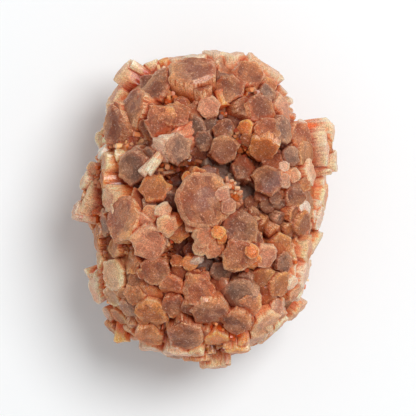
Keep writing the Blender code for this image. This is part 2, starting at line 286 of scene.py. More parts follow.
CROWN = (
    (-18.7, 31.1, 4.8, 145, 82, 1.0, "striped"),
    (-12.3, 32.9, 3.0, 115, 82, 1.0, "striped"),
    (-9.5, 33.3, 2.8, 105, 82, 1.0, "orange"),
    (-6.2, 33.8, 5.0, 98, 84, 0.0, "cream"),
    (-1.8, 34.2, 4.8, 90, 84, 0.0, "cream"),
    (-11.4, 27.8, 7.2, 125, 36, 1.5, "mauve"),
    (-16.1, 22.6, 7.4, 160, 58, 1.5, "mauve"),
    (-20.7, 25.4, 5.4, 150, 80, 0.0, "peach"),
    (-20.5, 18.2, 8.2, 178, 62, 1.5, "rosy"),
    (-2.9, 30.9, 8.9, 95, 56, 2.5, "rosy"),
    (4.4, 35.0, 8.6, 89, 85, 3.0, "cream"),
    (9.5, 30.0, 6.0, 65, 42, 2.0, "mauve"),
    (13.4, 32.2, 8.4, 52, 84, 2.0, "cream"),
    (2.0, 27.2, 4.2, 140, 40, -2.5, "grey"),
    (5.1, 26.7, 5.8, 100, 30, -0.5, "rosy"),
    (13.9, 27.8, 3.4, 40, 52, -0.5, "tan"),
    (13.6, 25.4, 3.6, 30, 42, -0.5, "grey"),
    (12.5, 22.1, 6.4, 20, 40, 0.5, "mauve"),
    (17.2, 26.7, 2.6, 40, 78, -1.0, "cream"),
    (17.4, 22.5, 5.2, 25, 62, 0.5, "pink"),
)
RIGHT_SHOULDER = (
    (13.6, 17.5, 5.2, 30, 28, 1.0, "rosy"),
    (17.4, 17.5, 5.2, 2, 55, 1.0, "grey"),
    (21.1, 16.4, 5.6, 8, 46, 0.5, "rosy"),
    (28.5, 14.4, 9.0, 4, 84, 3.0, "striped"),
    (22.0, 12.2, 5.0, 0, 60, 0.0, "tan"),
    (18.5, 11.8, 3.8, 0, 35, -1.5, "grey"),
    (14.5, 10.7, 4.2, 80, 30, -2.5, "dark"),
    (12.3, 13.3, 5.8, 260, 38, -1.0, "rust"),
    (8.4, 17.9, 3.2, 200, 20, -1.0, "orange"),
    (8.8, 15.3, 2.8, 240, 20, -2.0, "rust"),
    (13.6, 6.7, 5.6, 20, 12, -1.0, "mauve"),
    (17.2, 6.5, 2.8, 10, 30, -1.0, "cream"),
    (19.4, 7.8, 2.8, 0, 35, -1.0, "peach"),
    (23.0, 8.5, 4.8, 10, 68, 0.0, "cream"),
    (26.2, 7.0, 4.6, 5, 80, 0.0, "cream"),
    (19.6, 3.2, 4.8, 0, 36, -1.0, "mauve"),
    (21.6, 5.6, 2.6, 0, 50, -1.0, "tan"),
    (26.4, 2.8, 5.0, 355, 80, 0.0, "peach"),
    (21.8, 0.6, 3.2, 0, 58, 0.0, "white"),
    (25.3, -1.9, 4.8, 345, 78, 0.0, "cream"),
    (21.4, -3.0, 4.8, 345, 60, 0.0, "rust"),
)
HOLLOW = (
    (8.8, 4.1, 4.8, 70, 25, -7.0, "slate"),
    (12.2, 3.8, 3.2, 60, 20, -4.0, "rosy"),
    (13.6, 1.2, 3.4, 330, 20, -4.5, "grey"),
    (15.2, 3.0, 2.8, 20, 25, -3.0, "grey"),
    (17.0, 0.6, 3.4, 340, 35, -3.0, "grey"),
    (10.6, -1.0, 2.6, 320, 35, -4.0, "rosy"),
    (13.0, -1.4, 3.0, 20, 30, -5.5, "grey"),
    (16.7, -2.6, 3.8, 330, 50, -3.0, "grey"),
    (19.4, -1.0, 3.6, 345, 55, -1.0, "mauve"),
    (18.5, -4.4, 3.4, 340, 55, -2.0, "rust"),
    (16.3, -8.0, 5.0, 335, 35, -1.0, "brown"),
    (22.7, -8.5, 4.8, 352, 78, 0.0, "peach"),
)
UPPER_BOWL = (
    (-9.5, 19.0, 6.4, 210, 12, 0.5, "rosy"),
    (-6.6, 21.0, 5.2, 80, 18, 0.0, "rosy"),
    (-2.4, 21.7, 3.8, 90, 14, -2.0, "mauve"),
    (0.7, 22.5, 4.2, 80, 14, -1.0, "pink"),
    (4.0, 22.5, 2.4, 290, 68, -2.5, "orange"),
    (-3.1, 17.9, 4.8, 180, 15, -3.0, "grey"),
    (0.9, 18.4, 3.8, 100, 10, -3.5, "grey"),
    (4.0, 17.7, 4.2, 60, 10, -2.5, "mauve"),
    (6.6, 19.9, 3.0, 60, 20, -4.0, "grey"),
    (-0.4, 15.0, 3.8, 270, 15, -3.5, "grey"),
    (4.0, 13.3, 5.2, 260, 8, -2.5, "rosy"),
    (-5.9, 13.3, 5.6, 350, 30, -0.5, "grey"),
    (-10.1, 12.9, 4.8, 200, 56, -0.5, "white"),
    (-12.6, 8.0, 2.2, 235, 74, 0.0, "white"),
    (-1.8, 11.4, 4.0, 260, 42, -6.0, "dark"),
    (1.0, 10.4, 2.8, 0, 40, -7.0, "slate"),
    (3.5, 8.7, 4.4, 40, 30, -7.5, "slate"),
    (8.4, 9.6, 5.2, 60, 25, -5.0, "mauve"),
)
LEFT_FLANK = (
    (-16.1, 9.4, 6.4, 195, 36, -0.5, "grey"),
    (-23.5, 13.0, 3.0, 175, 80, 0.0, "white"),
    (-22.3, 10.2, 4.2, 178, 78, 1.0, "green"),
    (-22.6, 6.6, 3.8, 180, 80, 1.0, "rust"),
    (-21.9, 2.6, 5.2, 182, 78, 1.0, "peach"),
    (-28.2, 3.4, 8.4, 162, 84, 3.0, "striped"),
    (-25.8, -3.0, 3.0, 215, 80, 0.0, "peach"),
    (-22.5, -3.2, 4.0, 190, 65, 0.0, "grey"),
    (-24.2, -6.6, 5.4, 184, 82, 0.0, "rust"),
    (-20.3, -7.8, 4.2, 185, 65, 0.0, "brown"),
    (-18.5, -1.7, 8.6, 166, 50, 2.0, "rosy"),
    (-14.5, 1.2, 2.8, 30, 30, 0.5, "mauve"),
    (-12.3, 1.9, 3.0, 60, 15, 0.0, "grey"),
    (-11.2, 5.0, 5.8, 110, 18, 0.0, "brown"),
    (-7.7, 1.6, 4.6, 240, 20, -1.0, "grey"),
    (-6.2, 6.0, 3.0, 60, 15, -5.0, "dark"),
    (-9.2, 0.1, 3.4, 60, 20, 2.0, "cream"),
    (-12.1, -0.6, 3.4, 160, 20, 1.5, "peach"),
    (-8.4, -3.0, 3.8, 270, 15, 3.0, "peach"),
    (-6.4, -1.9, 2.8, 30, 20, 1.0, "orange"),
    (-5.7, -4.5, 4.2, 300, 20, 0.0, "brown"),
    (-14.5, -3.4, 5.4, 188, 32, 2.0, "pink"),
    (-12.5, -7.6, 6.8, 262, 32, 2.5, "pink"),
)
GREAT_KNOB = (
    (-0.2, 2.5, 10.6, 45, 10, 4.0, "rosy"),
    (5.0, 0.9, 3.2, 0, 16, 3.2, "pink"),
    (3.8, 3.6, 3.0, 20, 14, 3.2, "pink"),
    (-2.6, -2.8, 3.8, 255, 25, 2.0, "pink"),
    (1.6, -2.2, 3.4, 300, 14, 2.5, "rosy"),
)
RIDGE = (
    (2.6, -4.5, 2.8, 60, 8, 3.0, "orange"),
    (-0.7, -5.8, 4.4, 250, 15, 2.0, "peach"),
    (1.5, -8.0, 4.2, 290, 18, 1.5, "peach"),
    (-1.1, -8.0, 3.2, 210, 20, 1.2, "peach"),
    (7.5, -3.6, 7.0, 40, 32, 1.0, "mauve"),
    (9.9, -5.8, 5.0, 40, 32, 0.5, "mauve"),
    (6.8, -9.8, 6.2, 250, 12, 3.0, "rosy"),
    (9.9, -8.5, 2.9, 60, 10, 4.5, "orange"),
    (10.3, -11.3, 3.2, 290, 30, 2.0, "orange"),
    (13.2, -9.8, 4.8, 345, 30, 2.0, "pink"),
)
LOWER_FIELD = (
    (-3.1, -8.5, 3.4, 120, 15, -3.0, "dark"),
    (-3.5, -11.5, 3.2, 250, 20, -1.0, "orange"),
    (-0.4, -12.4, 4.4, 300, 20, -3.0, "slate"),
    (-6.2, -10.7, 2.6, 100, 15, -1.0, "rust"),
    (-5.9, -13.0, 3.2, 250, 15, -2.0, "rust"),
    (-1.8, -17.3, 6.4, 270, 10, 1.0, "rosy"),
    (3.3, -13.3, 3.8, 280, 22, -1.5, "grey"),
    (5.9, -13.6, 2.8, 270, 30, -2.5, "brown"),
    (2.9, -16.2, 4.0, 200, 25, -1.5, "pink"),
    (7.0, -18.2, 6.0, 250, 35, 0.5, "grey"),
    (9.7, -20.6, 4.6, 290, 35, 1.5, "rosy"),
    (12.3, -14.6, 4.6, 300, 35, -0.5, "brown"),
    (17.2, -11.5, 3.8, 340, 42, 0.0, "grey"),
    (16.3, -16.2, 5.2, 328, 48, 0.5, "brown"),
    (19.0, -16.0, 3.0, 330, 66, 1.0, "cream"),
    (13.4, -18.8, 4.4, 300, 45, -1.0, "rust"),
    (15.6, -21.2, 3.2, 310, 35, 0.5, "pink"),
    (19.6, -18.2, 3.2, 325, 62, -1.0, "peach"),
    (22.0, -13.9, 5.6, 345, 76, 0.0, "cream"),
    (20.8, -18.4, 3.4, 340, 78, -1.0, "cream"),
    (20.5, -22.4, 5.2, 322, 78, 0.0, "peach"),
    (0.9, -22.3, 7.6, 270, 42, 1.0, "mauve"),
    (-6.6, -21.0, 4.8, 260, 30, 0.0, "mauve"),
    (-4.2, -23.8, 3.4, 270, 35, -2.0, "mauve"),
    (-11.0, -13.3, 5.6, 260, 20, 0.0, "rosy"),
    (-7.7, -16.8, 4.6, 255, 22, -0.5, "rosy"),
)
SKIRT = (
    (13.2, -24.6, 6.2, 300, 62, 0.0, "peach"),
    (12.4, -27.2, 4.6, 292, 82, 0.0, "peach"),
    (16.4, -25.2, 3.8, 310, 78, 0.0, "peach"),
    (6.6, -24.5, 5.8, 265, 46, 1.0, "mauve"),
    (6.9, -31.0, 4.8, 268, 80, 0.0, "orange"),
    (2.2, -28.5, 5.2, 268, 62, -1.0, "orange"),
    (1.5, -34.7, 5.4, 270, 84, 1.0, "peach"),
    (-2.2, -31.6, 3.4, 262, 80, 0.0, "peach"),
    (-4.4, -27.8, 7.2, 266, 50, 1.0, "mauve"),
    (-6.2, -31.6, 5.6, 266, 82, 0.0, "cream"),
    (-11.9, -31.0, 5.6, 262, 80, 0.0, "cream"),
    (-12.3, -27.6, 5.8, 255, 55, 0.5, "tan"),
    (-12.1, -22.8, 6.2, 250, 36, 1.0, "brown"),
    (-11.7, -18.8, 4.6, 250, 25, -1.5, "brown"),
    (-14.7, -15.4, 4.4, 220, 35, -0.5, "tan"),
    (-15.8, -18.6, 4.8, 228, 45, 0.0, "tan"),
    (-17.0, -21.4, 4.4, 232, 50, 0.0, "grey"),
    (-19.2, -23.6, 3.8, 225, 62, 0.0, "tan"),
    (-15.6, -25.6, 3.4, 245, 65, 0.0, "tan"),
    (-22.0, -23.0, 3.4, 205, 78, 0.0, "cream"),
    (-21.2, -26.3, 3.6, 220, 78, -1.0, "rust"),
    (-18.7, -29.0, 3.0, 265, 84, 1.0, "orange"),
    (-16.2, -28.2, 2.6, 255, 80, 0.0, "peach"),
    (-20.5, -14.0, 6.4, 190, 52, 0.5, "green"),
    (-16.7, -11.4, 5.0, 195, 35, 0.5, "tan"),
    (-25.2, -17.2, 6.2, 205, 80, 1.0, "cream"),
    (-23.8, -10.4, 3.8, 185, 78, 0.0, "green"),
    (-20.6, -19.0, 4.6, 215, 66, 0.0, "green"),
)
UNDERSIDE = (
    (0.0, 0.0, 9.2, 0, 180, 0.0, "brown"),
    (9.2, 4.5, 8.0, 27, 168, 0.0, "tan"),
    (0.8, 10.5, 8.2, 90, 168, 0.0, "rosy"),
    (-9.0, 5.2, 7.6, 150, 168, 0.0, "mauve"),
    (-8.6, -5.4, 8.4, 213, 168, 0.0, "peach"),
    (0.2, -10.2, 7.8, 270, 168, 0.0, "brown"),
    (9.2, -6.2, 7.4, 325, 168, 0.0, "tan"),
    (9.6, 15.0, 7.6, 57, 158, 0.0, "rosy"),
    (-9.0, 14.6, 7.8, 123, 158, 0.0, "mauve"),
    (-8.8, -15.4, 8.0, 238, 158, 0.0, "peach"),
    (9.4, -15.6, 7.4, 302, 158, 0.0, "tan"),
    (0.4, 20.6, 7.2, 90, 155, 0.0, "brown"),
    (0.2, -20.2, 7.6, 270, 155, 0.0, "rosy"),
)

FACE_UP = (
    CROWN
    + RIGHT_SHOULDER
    + HOLLOW
    + UPPER_BOWL
    + LEFT_FLANK
    + GREAT_KNOB
    + RIDGE
    + LOWER_FIELD
    + SKIRT
)

# Crystals too small for the solid
SMALL = (
    (-21.9, 22.4, 1.8, 165, 80, 0.0, "white"),
    (18.7, 24.4, 1.8, 30, 80, 0.0, "cream"),
    (21.3, 19.5, 2.0, 50, 72, 0.0, "cream"),
    (23.4, 18.8, 2.0, 40, 74, -1.0, "cream"),
    (16.9, 9.6, 2.2, 45, 25, -1.0, "cream"),
    (-4.0, 7.2, 2.2, 110, 15, 1.0, "orange"),
    (-2.0, 7.6, 1.9, 90, 15, 2.5, "peach"),
    (3.5, -6.0, 2.2, 300, 15, 2.5, "orange"),
    (-0.8, -10.3, 1.7, 20, 48, 0.0, "white"),
    (-9.6, 14.8, 3.0, 185, 48, 0.8, "white"),
    (-13.9, 7.9, 1.9, 226, 76, 0.5, "white"),
    (6.0, 6.4, 3.4, 30, 35, -6.5, "slate"),
    (8.0, 0.6, 3.2, 350, 40, -5.5, "dark"),
    (10.0, 1.4, 3.0, 20, 25, -5.5, "rust"),
    (8.6, -1.4, 2.8, 330, 45, -4.5, "dark"),
    (12.6, 5.8, 3.2, 60, 30, -4.0, "grey"),
    (10.8, 7.0, 3.0, 80, 30, -5.5, "grey"),
    (13.0, -3.6, 3.4, 320, 55, -3.5, "rust"),
    (15.0, -5.0, 3.2, 325, 60, -2.5, "rust"),
    (6.2, 3.9, 2.8, 10, 50, -6.5, "slate"),
)


def direction(toward, tilt):
    """The unit vector that leans from upright by tilt, towards a compass direction."""
    around, lean = math.radians(toward), math.radians(tilt)
    flat = math.sin(lean)
    return Vector((flat * math.cos(around), flat * math.sin(around), math.cos(lean)))


def skin_height(x, y):
    """Height of the body's skin above its middle plane, over a point of that plane."""
    p = BODY_SQUARENESS
    left = 1 - abs(x / BODY_HALF.x) ** p - abs(y / BODY_HALF.y) ** p
    return BODY_HALF.z * max(0.0, left) ** (1 / p)


def skin_distance(way):
    """Distance from the body's middle to its skin in a direction."""
    p = BODY_SQUARENESS
    return sum(abs(way[i] / BODY_HALF[i]) ** p for i in range(3)) ** (-1 / p)


def length_into_core(end, axis):
    """How long a crystal is that roots in the core, or that stops where it passes it nearest."""
    start = end - Vector((0, 0, MID_HEIGHT - CORE_DROP))
    p = Vector([start[k] / CORE_HALF[k] for k in range(3)])
    d = Vector([axis[k] / CORE_HALF[k] for k in range(3)])
    nearest = p.dot(d) / d.dot(d)
    inside = nearest**2 - (p.dot(p) - 1) / d.dot(d)
    return nearest - math.sqrt(max(0.0, inside)) + ROOT_DEPTH


def table_crystals(table, side):
    """The crystals of a table on the upper (1) or lower (-1) side: end, axis, width and tint."""
    found = []
    for x, y, across, toward, tilt, rise, tint in table:
        end = Vector((x, y, MID_HEIGHT + side * (skin_height(x, y) + rise)))
        found.append((end, direction(toward, tilt), across, tint))
    return found


def spiral_ways(count):
    """Directions evenly spread over all sides, from the top down."""
    for i in range(count):
        up = 1 - 2 * (i + 0.5) / count
        flat = math.sqrt(1 - up * up)
        turn = i * GOLDEN_ANGLE
        round_way = (flat * math.cos(turn), flat * math.sin(turn), up)
        yield Vector([round_way[k] * BODY_HALF[k] for k in range(3)]).normalized()


def spiral_crystals(taken):
    """Crystals of the sides and the underside, wherever none of those taken stands."""
    dice = random.Random(SEED)
    found = []
    for count, top, bottom, narrowest, widest in SPIRAL_PASSES:
        for way in spiral_ways(count):
            across = dice.uniform(narrowest, widest)
            end = MIDDLE + way * (skin_distance(way) + dice.uniform(*SPIRAL_DEPTH))
            wobble = [dice.uniform(-SPIRAL_WOBBLE, SPIRAL_WOBBLE) for _ in range(3)]
            crowded = any(
                (end - other[0]).length < SPIRAL_CLEARANCE * (across + other[2])
                for other in taken + found
            )
            if bottom < end.z - MID_HEIGHT < top and not crowded:
                axis = (way + Vector(wobble)).normalized()
                tint = SPIRAL_TINTS[len(found) * SPIRAL_TINT_STEP % len(SPIRAL_TINTS)]
                found.append((end, axis, across, tint))
    return found


def dice_mark(end):
    """A number from 0 to 1 that is a crystal's own."""
    place = sum(part * weight for part, weight in zip(end, MARK_WEIGHTS))
    return random.Random(round(place, 2)).random()


class Crystal:
    """One crystal: its place, its own three axes, and the outline and wear of its end."""

    def __init__(
        self, end, axis, across, tint, dice, scatter=CORNER_SCATTER, most_slant=END_SLANT_DEG
    ):
        self.end = end
        self.across = across * WIDENING
        self.length = length_into_core(end, axis)
        self.tint = tint
        self.dome = 0.0
        self.wear = CORNER_WEAR
        self.chip = Vector((0.0, 0.0, 0.0))
        self.chip_slope = 0.0
        self.corner_shares = [1 + dice.uniform(-scatter, scatter) for _ in range(CORNERS)]
        slant = dice.uniform(0, most_slant)
        facing = direction(dice.uniform(0, 360), slant)
        spin = Matrix.Rotation(dice.uniform(0, math.tau), 3, "Z")
        turned = axis.to_track_quat("Z", "Y").to_matrix() @ spin
        self.end_facing = spin.transposed() @ facing
        self.axes = [turned.col[k].copy() for k in range(3)]
        self.mark = dice_mark(end)

    def corner(self, k):
        """A corner of the outline at the end, in the crystal's own millimetres."""
        turn = math.tau * ((k % CORNERS) + 0.5) / CORNERS
        reach = CORNER_REACH * self.across * self.corner_shares[k % CORNERS]
        return np.array((reach * math.cos(turn), reach * math.sin(turn)))

    def rise(self):
        """How far the end stands out of the body's skin."""
        from_middle = self.end - MIDDLE
        return from_middle.length - skin_distance(from_middle.normalized())


def chip_ends(crystals):
    """Break one side off the ends of some crystals, along a sloping plane."""
    dice = random.Random(SEED + 1)
    for crystal in crystals:
        turn = dice.uniform(0, math.tau)
        out = dice.uniform(*CHIP_OUT) * crystal.across
        slope = math.tan(math.radians(dice.uniform(*CHIP_SLOPE_DEG)))
        if dice.random() < CHIPPED_SHARE and not crystal.dome and crystal.tint != "striped":
            crystal.chip = Vector((math.cos(turn), math.sin(turn), out))
            crystal.chip_slope = slope


def bundle(host, dice):
    """The parallel crystals that stand out of one thick striped crystal of the solid."""
    w = host.axes[2]
    sideways = Vector((0, 0, 1)).cross(w).normalized()
    parts = []
    for aside, across, back, tint in BUNDLE:
        end = host.end + sideways * (aside * host.across) - w * back
        parts.append(Crystal(end, w, across * host.across / WIDENING, tint, dice))
    host.end = host.end - w * BUNDLE_BACK
    host.length -= BUNDLE_BACK
    host.across *= BUNDLE_HOST
    return parts


def satellites(hosts, dice):
    """Slim crystals along the wide ones, which step and notch their rims."""
    found = []
    for host in [c for c in hosts if c.across > HOST_FROM]:
        u, v, w = host.axes
        for _ in range(round(host.across * SATELLITES_PER_MM)):
            turn = dice.uniform(0, math.tau)
            out = dice.uniform(*SATELLITE_OUT) * host.across
            across = min(dice.uniform(*SATELLITE_WIDTH) * host.across, SATELLITE_WIDEST)
            sideways = (u * math.cos(turn) + v * math.sin(turn)) * out
            end = host.end + sideways - w * dice.uniform(*SATELLITE_DROP)
            covering = any(
                (end - c.end).length < c.across / 2 and (end - c.end).dot(c.axes[2]) > -INSIDE_FROM
                for c in hosts
                if c is not host
            )
            if end.z > LOWEST_END and not covering and not host.dome:
                slim = Crystal(end, w, across, host.tint, dice)
                slim.axes = host.axes
                slim.wear = 0.0
                found.append(slim)
    return found


def standing(crystals):
    """The ends, axes, widths and rises of crystals, one row each."""
    return (
        np.array([c.end for c in crystals]),
        np.array([c.axes[2] for c in crystals]),
        np.array([c.across for c in crystals]),
        np.array([c.rise() for c in crystals]),
    )


def seen_along(axes, offset):
    """How high up each axis an offset reaches, and how far aside of it."""
    height = (offset * axes).sum(axis=1)
    aside = np.linalg.norm(offset - height[:, None] * axes, axis=1)
    return height, aside


def fill_crystals(others, dice):
    """Small crystals in the gaps, which follow how high and which way their neighbours stand."""
    ends, axes, widths, rises = standing(others)
    found = []
    for way in spiral_ways(FILL_POINTS):
        across = dice.uniform(*FILL_WIDTH)
        drop = dice.uniform(*FILL_DROP)
        wobble = Vector([dice.uniform(-FILL_WOBBLE, FILL_WOBBLE) for _ in range(3)])
        skin = MIDDLE + way * skin_distance(way)
        near = np.linalg.norm(ends - np.array(skin), axis=1)
        weight = np.exp(-((near / FILL_NEAR) ** 2)) * widths + LEAST_WEIGHT
        axis = (Vector(weight @ axes).normalized() + wobble).normalized()
        end = skin + way * (weight @ rises / weight.sum() - drop)
        for _ in range(FILL_ROUNDS):
            height, aside = seen_along(axes, np.array(end) - ends)
            over = aside < OVER[0] * widths + OVER[1] * across
            beside = (aside < (widths + across) / 2) & (widths > FILL_AWAY_FROM)
            sink = np.where(beside, FILL_SINK_BESIDE * widths, FILL_SINK)
            covered = (over | beside) & (height > -sink) & (height < OVER_UP_TO)
            if covered.any():
                end = end - axis * (height + sink)[covered].max()
        inside = (aside + INSIDE[1] * across < INSIDE[0] * widths) & (height < -INSIDE_FROM)
        if end.z > LOWEST_END and not inside.any():
            tint = others[int(weight.argmax())].tint
            tint = FILL_TINTS.get(tint, tint)
            small = Crystal(end, axis, across, tint, dice, FILL_SCATTER, FILL_SLANT_DEG)
            small.wear = 0.0
            found.append(small)
    return found


def mass_between(crystals):
    """The amber mass in which the crystals stand, lying a little below the ends around it."""
    bm = bmesh.new()
    bmesh.ops.create_icosphere(bm, subdivisions=MASS_DETAIL, radius=1.0)
    middle = np.array(MIDDLE)
    ends, axes, widths, rises = standing(crystals)
    for v in bm.verts:
        way = Vector([v.co[k] * BODY_HALF[k] for k in range(3)]).normalized()
        flat_way = np.array(way)
        reach = skin_distance(way)
        near = np.linalg.norm(ends - middle - flat_way * reach, axis=1)
        weight = np.exp(-((near / MASS_NEAR) ** 2)) + LEAST_WEIGHT
        reach += weight @ rises / weight.sum() - MASS_DROP
        height, aside = seen_along(axes, middle + flat_way * reach - ends)
        sink = MASS_BELOW_END + MASS_BELOW_END_SHARE * widths
        covering = (aside < MASS_UNDER * widths) & (height > -sink) & (height < OVER_UP_TO)
        if covering.any():
            reach -= (height + sink)[covering].max()
        v.co = Vector(middle + flat_way * reach) * MM
        v.co.z = max(v.co.z, MASS_LOWEST * MM)
    mesh = bpy.data.meshes.new("mass")
    bm.to_mesh(mesh)
    bm.free()
    return bpy.data.objects.new("mass", mesh)


def all_crystals():
    """Every crystal: first those of the solid, in its order, then those too small for it."""
    shapes = table_crystals(FACE_UP, 1) + table_crystals(UNDERSIDE, -1)
    shapes += spiral_crystals(shapes)
    shapes += table_crystals(SMALL, 1)
    dice = random.Random(SEED)
    crystals = [Crystal(*shape, dice) for shape in shapes]
    knob = max(crystals[: len(FACE_UP)], key=lambda c: c.across)
    knob.dome = KNOB_DOME
    knob.wear = KNOB_WEAR
    for host in [c for c in crystals if c.tint == "striped" and c.across > BUNDLE_FROM]:
        crystals += bundle(host, dice)
    crystals += satellites(crystals, dice)
    crystals += fill_crystals(crystals, dice)
    chip_ends(crystals)
    return crystals


class Term:
    """A result in a node tree. Reckoning with terms adds nodes and gives further terms."""

    def __init__(self, socket):
        self.socket = socket
        self.tree = socket.id_data

    def __add__(self, other):
        return maths("ADD", self, other)

    def __radd__(self, other):
        return maths("ADD", other, self)

    def __sub__(self, other):
        return maths("SUBTRACT", self, other)

    def __rsub__(self, other):
        return maths("SUBTRACT", other, self)

    def __mul__(self, other):
        return maths("MULTIPLY", self, other)

    def __rmul__(self, other):
        return maths("MULTIPLY", other, self)

    def __truediv__(self, other):
        return maths("DIVIDE", self, other)

    def __pow__(self, other):
        return maths("POWER", self, other)

    def scaled(self, factor):
        """A vector times a number."""
        inputs = {0: self, "Scale": factor}
        return result(self.tree, "ShaderNodeVectorMath", inputs, operation="SCALE")


def feed(owner, inputs):
    """Link each input of a node to a term, or set it to a plain value."""
    for name, value in dict(inputs).items():
        socket = owner.inputs[name]
        if isinstance(value, Term):
            value.tree.links.new(value.socket, socket)
        else:
            socket.default_value = value


def node(tree, kind, inputs=(), **settings):
    """A new node with its settings made and its inputs fed."""
    made = tree.nodes.new(kind)
    for name, value in settings.items():
        setattr(made, name, value)
    feed(made, inputs)
    return made


def result(tree, kind, inputs=(), output=0, **settings):
    """What a new node puts out."""
    return Term(node(tree, kind, inputs, **settings).outputs[output])


def maths(operation, *values):
    """The result of one calculation, which is one with vectors if its first term is one."""
    first = [v for v in values if isinstance(v, Term)][0]
    with_vectors = first.socket.type in ("VECTOR", "RGBA")
    kind = "ShaderNodeVectorMath" if with_vectors else "ShaderNodeMath"
    return result(first.tree, kind, enumerate(values), operation=operation)


def split(vector):
    """The three parts of a vector."""
    made = node(vector.tree, "ShaderNodeSeparateXYZ", {0: vector})
    return [Term(socket) for socket in made.outputs]


def joined(x, y, z=0.0):
    """The vector of three parts."""
    return result(x.tree, "ShaderNodeCombineXYZ", {0: x, 1: y, 2: z})


def spread(value, low, high, to_low=0.0, to_high=1.0):
    """A value's share of the way from low to high, eased at both ends."""
    inputs = {0: value, 1: low, 2: high, 3: to_low, 4: to_high}
    return result(value.tree, "ShaderNodeMapRange", inputs, interpolation_type="SMOOTHSTEP")


def noise(at, scale, detail=2.0, roughness=0.5, output=0):
    """Soft noise around 0.5 at a place."""
    inputs = {"Vector": at, "Scale": scale, "Detail": detail, "Roughness": roughness}
    return result(at.tree, "ShaderNodeTexNoise", inputs, output)


def new_tree(name, kind, given, put_out):
    """An empty node tree with named inputs and outputs, its inputs as terms, and its last node."""
    tree = bpy.data.node_groups.new(name, kind)
    for sockets, way in ((given, "INPUT"), (put_out, "OUTPUT")):
        for socket_name, kind_word in sockets.items():
            socket_type = "NodeSocket" + kind_word
            tree.interface.new_socket(socket_name, in_out=way, socket_type=socket_type)
    start = node(tree, "NodeGroupInput").outputs
    return tree, {name: Term(start[name]) for name in given}, node(tree, "NodeGroupOutput")


def read(tree, name, kind="FLOAT"):
    """A named attribute in a geometry tree."""
    inputs = {"Name": name}
    return result(tree, "GeometryNodeInputNamedAttribute", inputs, "Attribute", data_type=kind)


def stored(geometry, name, value, kind, domain):
    """The geometry with a value stored on it under a name."""
    inputs = {"Geometry": geometry, "Name": name, "Value": value}
    settings = {"data_type": kind, "domain": domain}
    return result(geometry.tree, "GeometryNodeStoreNamedAttribute", inputs, **settings)


def shifted(geometry, by):
    """The geometry moved by a distance."""
    inputs = {"Geometry": geometry, "Translation": by}
    return result(geometry.tree, "GeometryNodeTransform", inputs)


def with_material(geometry, material):
    """The geometry as real meshes with their material."""
    real = result(geometry.tree, "GeometryNodeRealizeInstances", {0: geometry})
    inputs = {"Geometry": real, "Material": material}
    return result(geometry.tree, "GeometryNodeSetMaterial", inputs)


def random_number(tree, low, high, seed):
    """A random number between two, drawn with its own seed."""
    made = node(tree, "FunctionNodeRandomValue", {"Seed": SEED + seed}, data_type="FLOAT")
    numbers = [k for k, socket in enumerate(made.inputs) if socket.type == "VALUE"]
    feed(made, {numbers[0]: low, numbers[1]: high})
    return Term(made.outputs[1])


def outline_point(tree, turn_share):
    """The point of the uneven six-sided outline at a share of the turn, its corners worn round."""
    side = turn_share * float(CORNERS) - 0.5
    first = maths("FLOORED_MODULO", maths("FLOOR", side), float(CORNERS))
    reaches = split(read(tree, "reach_a", "FLOAT_VECTOR"))
    reaches += split(read(tree, "reach_b", "FLOAT_VECTOR"))
    corners = []
    for step in (0.0, 1.0):
        index = maths("FLOORED_MODULO", first + step, float(CORNERS))
        pick = node(tree, "GeometryNodeIndexSwitch", data_type="FLOAT")
        while len(pick.index_switch_items) < CORNERS:
            pick.index_switch_items.new()
        feed(pick, enumerate([maths("ROUND", index)] + reaches))
        angle = (index + 0.5) * (math.tau / CORNERS)
        way = joined(maths("COSINE", angle), maths("SINE", angle))
        corners.append(way.scaled(Term(pick.outputs[0])))
    inputs = {"Factor": maths("FRACT", side), 4: corners[0], 5: corners[1]}
    sharp = result(tree, "ShaderNodeMix", inputs, 1, data_type="VECTOR")
    reach = result(tree, "ShaderNodeVectorMath", {0: sharp}, "Value", operation="LENGTH")
    round_reach = read(tree, "across") * (CORNER_REACH * CORNER_WEAR_REACH)
    wear = read(tree, "wear")
    return sharp.scaled(1.0 - wear + round_reach / reach * wear)


def unit_prism(tree, points, steps):
    """A round prism of radius and height 1 that remembers where each of its points was."""
    shape = {
        "Vertices": points,
        "Side Segments": steps,
        "Fill Segments": STEPS_ACROSS,
        "Radius": 1.0,
        "Depth": 1.0,
    }
    prism = result(tree, "GeometryNodeMeshCylinder", shape, "Mesh")
    place = result(tree, "GeometryNodeInputPosition")
    return stored(prism, "unit", place, "FLOAT_VECTOR", "POINT")


def prisms_on_seeds(tree, seeds):
    """A prism on each seed point, with fewer points where the crystal is slim."""
    kinds = node(tree, "GeometryNodeJoinGeometry")
    # The last joined comes first, so the slim prism is number 0 and the wide one number 1
    for points, steps in ((POINTS_ROUND, STEPS_ALONG), (POINTS_ROUND_SLIM, STEPS_ALONG_SLIM)):
        prism = unit_prism(tree, points, steps)
        feed(kinds, {0: result(tree, "GeometryNodeGeometryToInstance", {0: prism})})
    inputs = {
        "Points": seeds,
        "Instance": Term(kinds.outputs[0]),
        "Pick Instance": True,
        "Instance Index": maths("GREATER_THAN", read(tree, "across"), SLIM_BELOW * MM),
    }
    placed = result(tree, "GeometryNodeInstanceOnPoints", inputs)
    return result(tree, "GeometryNodeRealizeInstances", {0: placed})


